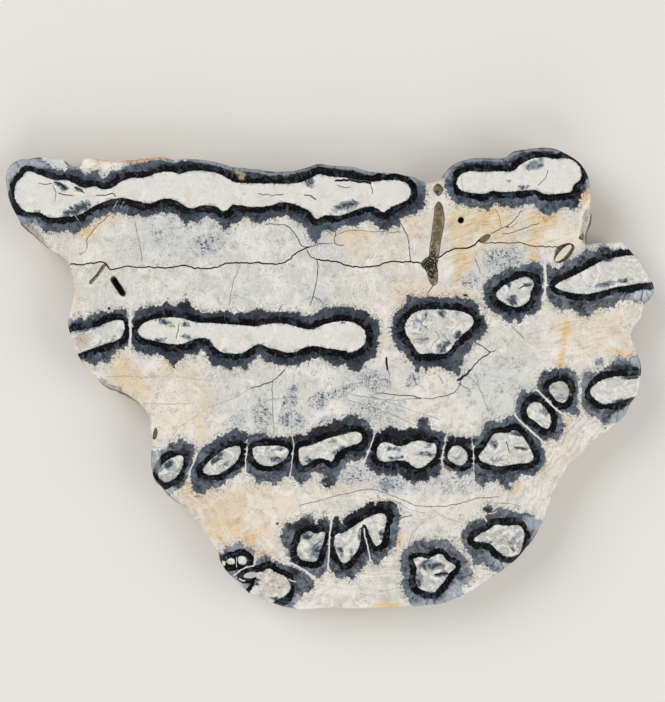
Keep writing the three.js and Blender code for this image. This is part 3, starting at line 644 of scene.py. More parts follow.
    "scratch": [  # fine brown and pale streaks
        (27, 22, 11, 5, 10, 1), (38, 6, 8, 5, 10, 0.7), (-30, 20, 8, 4, 0, 0.4), (12, -4, 12, 4, 0, 0.5),
    ],
}

# where the rind slopes out from under the polished face, in the same numbers
bareRind = [
    (39.8, 23.4, 1.6, 3, 0, 1), (-32.4, -3, 6, 1.5, -36, 0.75), (-46, 22.4, 4, 1.4, -46, 0.8),
    (-24.4, -18.4, 6, 1.4, -48, 0.5), (36, -14, 4, 1.2, -52, 0.3),
]


# centripetal Catmull-Rom line through the points
def smoothLine(points, closed=True, step=0.12):
    points = [np.array(p, float) for p in points]
    if closed:
        ring = [points[-1]] + points + points[:2]
    else:
        ring = [2 * points[0] - points[1]] + points + [2 * points[-1] - points[-2]]
    out = []
    for a, b, c, d in zip(ring, ring[1:], ring[2:], ring[3:]):
        spans = [max(np.linalg.norm(e - s), 1e-6) ** 0.5 for s, e in ((a, b), (b, c), (c, d))]
        t0, t1, t2, t3 = np.cumsum([0] + spans)
        count = max(2, math.ceil(np.linalg.norm(c - b) / step))
        t = (t1 + (t2 - t1) * np.arange(count) / count)[:, None]
        ab = ((t1 - t) * a + (t - t0) * b) / (t1 - t0)
        bc = ((t2 - t) * b + (t - t1) * c) / (t2 - t1)
        cd = ((t3 - t) * c + (t - t2) * d) / (t3 - t2)
        abc = ((t2 - t) * ab + (t - t0) * bc) / (t2 - t0)
        bcd = ((t3 - t) * bc + (t - t1) * cd) / (t3 - t1)
        out.append(((t2 - t) * abc + (t - t1) * bcd) / (t2 - t1))
    out.append(out[0][:1] if closed else points[-1][None])
    return np.concatenate(out)


# distance to the nearest of some lines, the nearest point there, and which line it is
def nearestLine(places, lines):
    starts = np.concatenate([line[:-1] for line in lines])
    runs = np.concatenate([np.diff(line, axis=0) for line in lines])
    owner = np.concatenate([np.full(len(line) - 1, i) for i, line in enumerate(lines)])
    tree = kdtree.KDTree(len(starts))
    for i, (x, y) in enumerate(starts + runs / 2):
        tree.insert((x, y, 0), i)
    tree.balance()
    found = np.array([tree.find((x, y, 0))[1] for x, y in places])
    start, run = starts[found], runs[found]
    share = ((places - start) * run).sum(1) / np.maximum((run * run).sum(1), 1e-12)
    foot = start + np.clip(share, 0, 1)[:, None] * run
    return np.hypot(*(places - foot).T), foot, owner[found]


def insideLoop(places, loop):
    low, high = loop.min(0), loop.max(0)
    inBox = np.flatnonzero(((places > low) & (places < high)).all(1))
    result = np.zeros(len(places), bool)
    x, y = places[inBox].T
    crossed = np.zeros(len(inBox), bool)
    for (x0, y0), (x1, y1) in zip(loop[:-1], loop[1:]):
        if y0 != y1:
            crossed ^= ((y0 > y) != (y1 > y)) & (x < (x1 - x0) * (y - y0) / (y1 - y0) + x0)
    result[inBox] = crossed
    return result


# distance to the nearest loop, below zero inside any of them
def loopField(places, loops):
    distance, foot, owner = nearestLine(places, loops)
    inside = np.zeros(len(places), bool)
    for loop in loops:
        inside |= insideLoop(places, loop)
    return np.where(inside, -distance, distance), foot, owner


def smoothStep(value, low, high):
    t = np.clip((value - low) / (high - low), 0, 1)
    return t * t * (3 - 2 * t)


# soft ovals, full within 0.4 of their size and gone at 1.6; the strongest wins
def patchField(places, ovals):
    field = np.zeros(len(places))
    for x, y, halfLong, halfWide, turn, strength in ovals:
        c, s = math.cos(math.radians(turn)), math.sin(math.radians(turn))
        dx, dy = places[:, 0] - x, places[:, 1] - y
        away = np.hypot((dx * c + dy * s) / halfLong, (dy * c - dx * s) / halfWide)
        field = np.maximum(field, strength * smoothStep(1.6 - away, 0, 1.2))
    return field


def noiseField(places, size, seed, octaves=3):
    shift = Vector((seed * 17.3, seed * 5.1, seed * 9.7))
    return np.array([noise.fractal(Vector(p) / size + shift, 1, 2, octaves) for p in places])


# the line broken up, less for a hairline, its ends left where they are
def jagged(line, width):
    order = np.arange(len(line))
    fade = np.minimum(1, np.minimum(order, order[::-1]) / 4)[:, None]
    flat = np.c_[line, np.zeros(len(line))]
    coarse, fine = [np.c_[noiseField(flat, size, 21, 1), noiseField(flat, size, 22, 1)]
                    for size in (1.6, 0.5)]
    return line + min(0.65, 5 * width) * fade * (0.3 * coarse + 0.3 * fine)


seamJag = 0.06  # seams break up as much as a crack of this width
enamelLoops = [smoothLine(plate["enamel"]) for plate in plates.values()]
dentineLoops = [smoothLine(loop) for plate in plates.values() for loop in plate["dentine"]]
enamelTone = np.array([plate["tone"] for plate in plates.values()])
dentineMurk = np.array([plate["murk"] for plate in plates.values() for loop in plate["dentine"]])
seamLines = [jagged(smoothLine(line, False), seamJag) for line, half in seams]
seamHalf = np.array([half for line, half in seams])
crackLines = [jagged(smoothLine(line, False, 0.25), width) for line, width, dark in cracks]
crackHalf = np.array([width / 2 for line, width, dark in cracks])
crackDark = np.array([dark for line, width, dark in cracks])
fillingLoops = [smoothLine(loop) for loop, tone in fillings]
fillingTone = np.array([tone for loop, tone in fillings])
plugLine = smoothLine(plug)
print("plates", len(plates), "seams", len(seams), "cracks", len(cracks), "fillings", len(fillings))


slab = {  # millimetres
    "faceStep": 0.46,  # between points of the polished face
    "plateStep": 0.26,  # and along the plates and fillings
    "plateBeside": 0.24,  # and from there to the points beside them
    "crackStep": 0.22,  # and along the cracks and seams
    "crackBeside": (0.03, 0.2),
    "lineGap": 0.13,  # the least between two points along lines
    "faceGap": 0.28,  # and between those and the rest
    "rimGap": 0.16,  # and between the rims and the rest
    "shuffle": 0.18,  # of the points between lines, in steps
    "backStep": 0.85,  # the same on the back
    "backCrackStep": 0.3,
    "backCrackBeside": (0.03, 0.25),
    "backGap": 0.6,
    "wallStep": 0.4,
    "wallLevels": 17,
    "waves": (0.12, 2.2),  # of the rind, height and size
    "hollows": 0.3,  # of the rind below the polished edge, depth
    "hollowStart": 1.2,  # how far down they are full
    "slopingRind": 0.55,  # how far the rind stands out where it slopes
    "bareBevel": 0.5,  # and how far the face sinks to it there
    "notches": (0.16, 0.25),  # where cracks reach the rind, depth and half width
    "chips": (0.22, 2.6),  # along the polished edge, depth and size
    "crackDepth": 0.3,
    "fillingDepth": 0.14,
    "pitStep": 0.14,
    "pitLevels": 8,
    "pitWobble": (0.12, 0.6),  # share of its width, and size
    "straying": (1.6, 14),  # of the plates and cracks on the way to the back, most and size
}
# where each surface bakes, as shares of the picture
bakeAt = {
    "face": (0.01, 0.01),
    "faceWidth": 0.98,
    "back": (0.4, 0.72),
    "backWidth": 0.38,
    "wall": (0.43, 0.745),
    "wallSize": (0.55, 0.056),
    "wallStrips": 4,
    "wallRise": 0.062,  # from one strip to the next
    "pit": (0.41, 0.72),
    "pitFloor": (0.41, 0.73),
    "pitFace": 0.002,
}
polished, sawn, weathered, muddy = range(4)  # the finishes in their order
rng = np.random.default_rng(11)


# the frame's rings, one at each height, matched point by point
def frameRings(node):
    solid = bmesh.new()
    solid.from_mesh(node.data)
    bmesh.ops.remove_doubles(solid, verts=solid.verts, dist=1e-6)
    heights = {}
    for v in solid.verts:
        heights.setdefault(round(v.co.z / mm, 2), []).append(v)
    top, bottom = max(heights), min(heights)
    levels = sorted(h for h in heights if len(heights[h]) >= len(heights[bottom]))
    rings = []
    for level in levels:
        members = set(heights[level])
        if level in (top, bottom):  # leave out the edges that cross the flat side
            steps = [e for e in solid.edges if set(e.verts) <= members
                     and min(abs(f.normal.z) for f in e.link_faces) < 0.99]
        else:
            steps = [e for e in solid.edges if set(e.verts) <= members]
        nextTo = {}
        for e in steps:
            a, b = e.verts
            nextTo.setdefault(a, []).append(b)
            nextTo.setdefault(b, []).append(a)
        start = min(nextTo, key=lambda v: v.co.x)
        ring, before = [start], None
        while True:
            onward = [v for v in nextTo[ring[-1]] if v != before]
            before = ring[-1]
            if onward[0] == start or (len(ring) > 2 and start in onward):
                break
            ring.append(onward[0])
        points = np.array([v.co for v in ring]) / mm
        x, y = points[:, 0], points[:, 1]
        if (x * np.roll(y, -1) - y * np.roll(x, -1)).sum() < 0:
            points = points[::-1]
        if rings:
            first = np.hypot(*(points - rings[-1][0])[:, :2].T).argmin()
            points = np.roll(points, -first, axis=0)
        rings.append(points)
    pits = []
    for level in sorted(set(heights) - set(levels)):
        floorPoints = np.array([v.co for v in heights[level]]) / mm
        away = floorPoints - floorPoints.mean(0)
        pits.append(floorPoints[np.argsort(np.arctan2(away[:, 1], away[:, 0]))])
    solid.free()
    return np.array(rings), pits


# points of every ring at the same fractional places along it
def resample(rings, at):
    count = rings.shape[1]
    i = np.floor(at).astype(int)
    t = (at - i)[None, :, None]
    a, b, c, d = (rings[:, (i + k) % count] for k in (-1, 0, 1, 2))
    return 0.5 * (2 * b + (c - a) * t + (2 * a - 5 * b + 4 * c - d) * t ** 2
                  + (3 * b - 3 * c + d - a) * t ** 3)


# how far the polished face lies below its plane, mm
def faceRelief(places, rimLine):
    away, foot, owner = nearestLine(places, crackLines)
    half = crackHalf[owner]
    groove = slab["crackDepth"] * crackDark[owner] * np.clip(1 - away / (half + 0.03), 0, 1)
    fillingEdge, foot, owner = loopField(places, fillingLoops)
    plugEdge = loopField(places, [plugLine])[0]
    sunk = slab["fillingDepth"] * smoothStep(-fillingEdge, -0.05, 0.25) * smoothStep(plugEdge, -0.05, 0.1)
    grit = 0.03 * noiseField(np.c_[places, np.zeros(len(places))], 0.35, 3, 2)
    sunk = sunk + np.where(fillingEdge < 0, grit, 0)
    depth = np.maximum(groove, sunk)
    rimAway = nearestLine(places, [rimLine])[0]
    bevel = slab["bareBevel"] * patchField(places, bareRind) * smoothStep(1 - rimAway, 0, 1)
    return depth * smoothStep(rimAway, 0.05, 0.6) + bevel


def hexGrid(low, high, step):
    rows = np.arange(low[1], high[1], step * 0.866)  # the height of an even triangle
    columns = np.arange(low[0], high[0], step)
    grid = [np.c_[columns + (step / 2) * (r % 2), np.full(len(columns), y)] for r, y in enumerate(rows)]
    grid = np.concatenate(grid)
    return grid + rng.uniform(-slab["shuffle"], slab["shuffle"], grid.shape) * step


# points in order of importance, without those closer than the gap to an earlier one
def thinOut(groups, gap):
    kept, taken = [], set()
    for group in groups:
        cells = np.floor(group / gap).astype(int)
        for point, (i, j) in zip(group, cells.tolist()):
            if (i, j) not in taken:
                taken.add((i, j))
                kept.append(point)
    return np.array(kept)


def besideLine(line, step, offsets):
    run = np.r_[0, np.cumsum(np.hypot(*np.diff(line, axis=0).T))]
    at = np.arange(0, run[-1], step)
    points = np.c_[np.interp(at, run, line[:, 0]), np.interp(at, run, line[:, 1])]
    ahead = np.c_[np.interp(at + 0.05, run, line[:, 0]), np.interp(at + 0.05, run, line[:, 1])]
    way = ahead - points
    way /= np.maximum(np.hypot(*way.T), 1e-9)[:, None]
    side = np.c_[-way[:, 1], way[:, 0]]
    return np.concatenate([points + side * o for o in offsets])


# triangles over the area inside the first loop and outside the others, with edges along the lines
def fillFace(loops, inner, lines=()):
    fixed = np.concatenate(loops)
    edges, start = [], 0
    for loop in loops:
        n = len(loop)
        edges += [(start + i, start + (i + 1) % n) for i in range(n)]
        start += n
    closed = [np.r_[loop, loop[:1]] for loop in loops]

    def fits(places):
        keep = insideLoop(places, closed[0]) & (nearestLine(places, closed)[0] > slab["rimGap"])
        for hole in closed[1:]:
            keep &= ~insideLoop(places, hole)
        return keep

    points = list(fixed)
    for line in lines:
        kept = fits(line)
        for i, point in enumerate(line):
            if kept[i]:
                if i and kept[i - 1]:
                    edges.append((len(points) - 1, len(points)))
                points.append(point)
    points = np.r_[points, inner[fits(inner)]]
    result = geometry.delaunay_2d_cdt([Vector(p) for p in points], edges, [], 0, 1e-6)
    flat = np.array([tuple(v) for v in result[0]])
    source = [min(o) if o else -1 for o in result[3]]
    triangles = np.array(result[2])
    middle = flat[triangles].mean(1)
    inside = insideLoop(middle, closed[0])
    for hole in closed[1:]:
        inside &= ~insideLoop(middle, hole)
    return flat, source, triangles[inside]


# the frame's rings with more points and levels, from the top down, roughened as the rind is
def rindLevels(rings):
    thickness = rings[-1, 0, 2]
    silhouette = rings[3][:, :2]
    run = np.hypot(*(np.roll(silhouette, -1, 0) - silhouette).T)
    along = np.r_[0, np.cumsum(run)]
    count = int(along[-1] / slab["wallStep"])
    at = np.interp(np.arange(count) * along[-1] / count, along, np.arange(len(along)))
    smooth = resample(rings, at)
    foot, head = smooth[2], smooth[3]  # of the wall, between its two rounded edges
    shares = np.linspace(0, 1, slab["wallLevels"] + 2)[1:-1, None, None]
    levels = np.concatenate([smooth[:3], foot + (head - foot) * shares, smooth[3:]])[::-1].copy()
    way = np.roll(head, -1, 0) - np.roll(head, 1, 0)
    outward = np.c_[way[:, 1], -way[:, 0]] / np.hypot(way[:, 0], way[:, 1])[:, None]
    height, size = slab["waves"]
    for ring in levels:
        place = ring * (1, 1, 0.35)  # the hollows are long from face to back
        below = min(1, (thickness - ring[0, 2]) / slab["hollowStart"])
        bumps = height * noiseField(ring * (1, 1, 0), size, 1) - 0.03  # so that the size holds
        hollows = 0.5 + noiseField(place, 2.6, 12) + 0.4 * noiseField(place, 0.7, 13)
        bumps -= below * slab["hollows"] * hollows
        bare = patchField(ring, bareRind)
        bumps += below * slab["slopingRind"] * bare
        ring[:, 2] -= slab["bareBevel"] * bare * np.clip(1 - (thickness - ring[:, 2]) / 1.5, 0, 1)
        ring[:, :2] += outward * bumps[:, None]
    depth, reach = slab["notches"]
    crackAway = nearestLine(levels[0][:, :2], crackLines)[0]
    notch = depth * np.clip(1 - crackAway / reach, 0, 1)
    levels[:, :, :2] -= outward * notch[:, None]
    depth, size = slab["chips"]
    chips = depth * smoothStep(noiseField(levels[0] * (1, 1, 0), size, 4, 2), 0.15, 0.6)
    levels[0][:, :2] -= outward * chips[:, None]
    levels[1][:, :2] -= outward * 0.7 * chips[:, None]
    return levels


# the mesh as it grows: its points, its faces, and the finish and the corners' bake places of each
skinPoints, skinFaces, skinFinishes, skinUvs = [], [], [], []


def addFace(corners, finish, uvs):
    skinFaces.append(tuple(corners))
    skinFinishes.append(finish)
    skinUvs.extend(uvs)


def addWall(levels):
    skinPoints.extend(levels.reshape(-1, 3))
    wallRows, count = levels.shape[:2]
    width, height = bakeAt["wallSize"]
    strip = math.ceil(count / bakeAt["wallStrips"])
    du, dv = width / strip, height / wallRows
    for r in range(wallRows - 1):
        for i in range(count):
            j = (i + 1) % count
            u = bakeAt["wall"][0] + width * (i % strip) / strip
            v = bakeAt["wall"][1] + (i // strip) * bakeAt["wallRise"] + height * r / wallRows
            corners = (r * count + i, (r + 1) * count + i, (r + 1) * count + j, r * count + j)
            finish = polished if r < 2 else weathered  # the rounded edge is polished over
            addFace(corners, finish, [(u, v), (u, v + dv), (u + du, v + dv), (u + du, v)])


# a blind pit that narrows downwards; gives the numbers and places of the points of its mouth
def addPit(floorRing, thickness, number):
    closed = np.r_[floorRing[:, :2], floorRing[:1, :2]]
    reach = np.r_[0, np.cumsum(np.hypot(*np.diff(closed, axis=0).T))]
    steps = np.arange(0, reach[-1] - 0.05, slab["pitStep"])
    shape = np.c_[np.interp(steps, reach, closed[:, 0]), np.interp(steps, reach, closed[:, 1])]
    centre = shape.mean(0)
    first, n = len(skinPoints), len(shape)
    depth = thickness - floorRing[0, 2]
    amount, size = slab["pitWobble"]
    for level in range(slab["pitLevels"] + 1):
        t = level / slab["pitLevels"]
        ring = np.c_[shape, np.full(n, thickness - depth * t ** 1.5)]
        wobble = amount * noiseField(ring, size, 6, 2)
        grow = 1.16 if level == 0 else 1.08 - 0.14 * t  # its rim is worn wider
        ring[:, :2] = centre + (shape - centre) * (grow + wobble[:, None])
        skinPoints.extend(ring)
    skinPoints.append(np.array([*centre, thickness - depth]))
    u, v = bakeAt["pit"][0] + 0.01 * number, bakeAt["pit"][1]
    d = bakeAt["pitFace"]
    for level in range(slab["pitLevels"]):
        a = first + level * n
        for i in range(n):
            j = (i + 1) % n
            corners = (a + i, a + n + i, a + n + j, a + j)
            addFace(corners, muddy, [(u, v), (u, v + d), (u + d, v + d), (u + d, v)])
    a = first + slab["pitLevels"] * n
    u, v = bakeAt["pitFloor"]
    for i in range(n):
        addFace((a + i, a + n, a + (i + 1) % n), muddy, [(u, v), (u + d, v), (u, v + d)])
    return list(range(first, first + n)), np.array(skinPoints[first:first + n])[:, :2]


# points along thin lines: on them, which edges follow, and beside them
def pointsAlong(lines, step, beside):
    near, far = beside
    middles, besides = [], []
    for line, half in zip(lines, [*crackHalf, *seamHalf]):
        middles.append(besideLine(line, step, (0,)))
        besides.append(besideLine(line, step, (-half - near, half + near, -half - far, half + far)))
    return middles, besides


# one flat side; rimIds are the numbers of the points that its loops share with the rest
def addSide(loops, rimIds, inner, lines, heightOf, finish, uvOf):
    flat, source, triangles = fillFace(loops, inner, lines)
    heights = heightOf(flat)
    ids = []
    for k, s in enumerate(source):
        if 0 <= s < len(rimIds):
            ids.append(rimIds[s])
        else:
            ids.append(len(skinPoints))
            skinPoints.append(np.array([*flat[k], heights[k]]))
    uvs = uvOf(flat)
    for triangle in triangles:
        corners = triangle if finish == polished else triangle[::-1]
        addFace((ids[k] for k in corners), finish, (tuple(uvs[k]) for k in corners))


# how far the plates and cracks stray sideways from the face to the back
def straying(flat):
    most, size = slab["straying"]
    level = np.c_[flat, np.zeros(len(flat))]
    return most * np.c_[noiseField(level, size, 8, 2), noiseField(level, size, 9, 2)]


# the slice as one closed skin; gives the line of its polished rim
def buildSlice():
    rings, pits = frameRings(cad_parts["molar_slice"])
    thickness = rings[-1, 0, 2]
    levels = rindLevels(rings)
    addWall(levels)
    count = levels.shape[1]
    loops, rimIds = [levels[0][:, :2]], list(range(count))
    for number, floorRing in enumerate(pits):
        mouthIds, mouth = addPit(floorRing, thickness, number)
        rimIds += mouthIds
        loops.append(mouth)
    rim = loops[0]
    rimLine = np.r_[rim, rim[:1]]
    corner, width = rim.min(0), rim[:, 0].max() - rim[:, 0].min()

    # the polished face, finer along every line that shows
    thinLines = crackLines + seamLines
    middles, besides = pointsAlong(thinLines, slab["crackStep"], slab["crackBeside"])
    offsets = (0, -slab["plateBeside"], slab["plateBeside"])
    plateEdges = [besideLine(line, slab["plateStep"], offsets)
                  for line in enamelLoops + dentineLoops + fillingLoops + [plugLine]]
    fine = thinOut([np.concatenate(middles + besides), np.concatenate(plateEdges)], slab["lineGap"])
    base = hexGrid(corner, rim.max(0), slab["faceStep"])
    tree = kdtree.KDTree(len(fine))
    for i, (x, y) in enumerate(fine):
        tree.insert((x, y, 0), i)
    tree.balance()
    base = base[np.array([tree.find((x, y, 0))[2] for x, y in base]) > slab["faceGap"]]
    fine = fine[nearestLine(fine, thinLines)[0] > 0.05]
    faceScale = bakeAt["faceWidth"] / width
    addSide(loops, rimIds, np.r_[fine, base], middles, lambda flat: thickness - faceRelief(flat, rimLine),
            polished, lambda flat: (flat - corner) * faceScale + bakeAt["face"])

    # the sawn back, finer where the cracks and seams come through
    comeThrough = [line - straying(line - straying(line)) for line in thinLines]
    middles, besides = pointsAlong(comeThrough, slab["backCrackStep"], slab["backCrackBeside"])
    fine = thinOut([np.concatenate(middles + besides)], slab["lineGap"])
    fine = fine[nearestLine(fine, middles)[0] > 0.05]
    base = hexGrid(corner, rim.max(0), slab["backStep"])
    base = base[nearestLine(base, middles)[0] > slab["backGap"]]
    backScale = bakeAt["backWidth"] / width * np.array([-1, 1])
    backIds = list(range(len(levels) * count - count, len(levels) * count))
    addSide([levels[-1][:, :2]], backIds, np.r_[fine, base], middles, lambda flat: np.zeros(len(flat)),
            sawn, lambda flat: (flat - corner) * backScale + bakeAt["back"])
    return rimLine


# what each point of the mesh needs to know for its colour; gives the names of its numbers
def paintFields(mesh, places, rimLine):
    thickness = places[:, 2].max()
    below = (thickness - places[:, 2:]) / thickness
    drawn = places[:, :2] + below * straying(places[:, :2])
    enamelEdge, enamelFoot, enamel = loopField(drawn, enamelLoops)
    dentineEdge, dentineFoot, dentine = loopField(drawn, dentineLoops)
    seamAway, foot, seam = nearestLine(drawn, seamLines)
    crackAway, foot, crack = nearestLine(drawn, crackLines)
    fillingEdge, foot, filling = loopField(drawn, fillingLoops)
    single = {
        "enamelEdge": enamelEdge,
        "tone": enamelTone[enamel],
        "dentineEdge": dentineEdge,
        "murk": dentineMurk[dentine],
        "seamEdge": seamAway - seamHalf[seam],
        "crackEdge": crackAway - crackHalf[crack],
        "crackTone": crackDark[crack],
        "fillingEdge": fillingEdge,
        "fillingTone": fillingTone[filling],
        "plugEdge": loopField(drawn, [plugLine])[0],
        "rimAway": nearestLine(drawn, [rimLine])[0],
        "rimDepth": thickness - places[:, 2],
        "bare": patchField(places, bareRind),
    }
    for name, ovals in patches.items():
        single[name] = patchField(drawn, ovals)
    for name, values in single.items():
        layer = mesh.attributes.new(name, "FLOAT", "POINT")
        layer.data.foreach_set("value", values.astype(np.float32))
    for name, foot in (("enamelFoot", enamelFoot), ("dentineFoot", dentineFoot)):
        layer = mesh.attributes.new(name, "FLOAT_VECTOR", "POINT")
        layer.data.foreach_set("vector", np.c_[foot, np.zeros(len(foot))].astype(np.float32).ravel())
    return list(single)


rimLine = buildSlice()
slicePoints = np.array(skinPoints)
mesh = bpy.data.meshes.new("molarSlice")
mesh.from_pydata((slicePoints * mm).tolist(), [], skinFaces)
mesh.uv_layers.new(name="OFBake").data.foreach_set("uv", np.array(skinUvs, np.float32).ravel())
mesh.polygons.foreach_set("material_index", skinFinishes)
mesh.shade_smooth()
print("slice mesh:", len(skinPoints), "points,", len(skinFaces), "faces")
pointFields = paintFields(mesh, slicePoints, rimLine)
print("tissue fields painted")
molarSlice = bpy.data.objects.new("molar_slice_polished", mesh)
bpy.context.scene.collection.objects.link(molarSlice)


# noise patterns: size in mm, detail, roughness, how far it swirls, and the place it is looked up
# at; the speck is drawn about twice as coarse as the mineral grains, which would not show
patterns = {
    "cloud": (6, 3, 0.6, 0, "place"),
    "drift": (2.6, 3, 0.6, 0.6, "place"),
    "mottle": (1.2, 4, 0.65, 0, "place"),
    "grain": (0.45, 3, 0.7, 0, "place"),
    "speck": (0.2, 2, 0.7, 0, "place"),
    "marble": (2.2, 3, 0.55, 2.4, "place"),
    "tuft": (1, 2, 0.6, 0, "enamelFoot"),
    "fibre": (0.26, 2, 0.7, 0, "enamelFoot"),
    "innerFibre": (0.32, 2, 0.7, 0, "dentineFoot"),
    "scallop": (2.2, 2, 0.5, 0, "dentineFoot"),
    "jag": (0.5, 1, 0.5, 0, "place"),
    "dendrite": (0.8, 3, 0.6, 1.6, "place"),
    "scratches": (1, 2, 0.6, 0, "combed"),
    "brushed": (1, 2, 0.6, 0, "drawnOut"),
    "sawMarks": (0.5, 2, 0.6, 0, "sawn"),
    "growthLines": (0.3, 2, 0.6, 0, "layered"),
}

# what frays the outer edge of the enamel, mm
fringe = {"jag": 0.6, "tuft": 1.3, "fibre": 0.8}

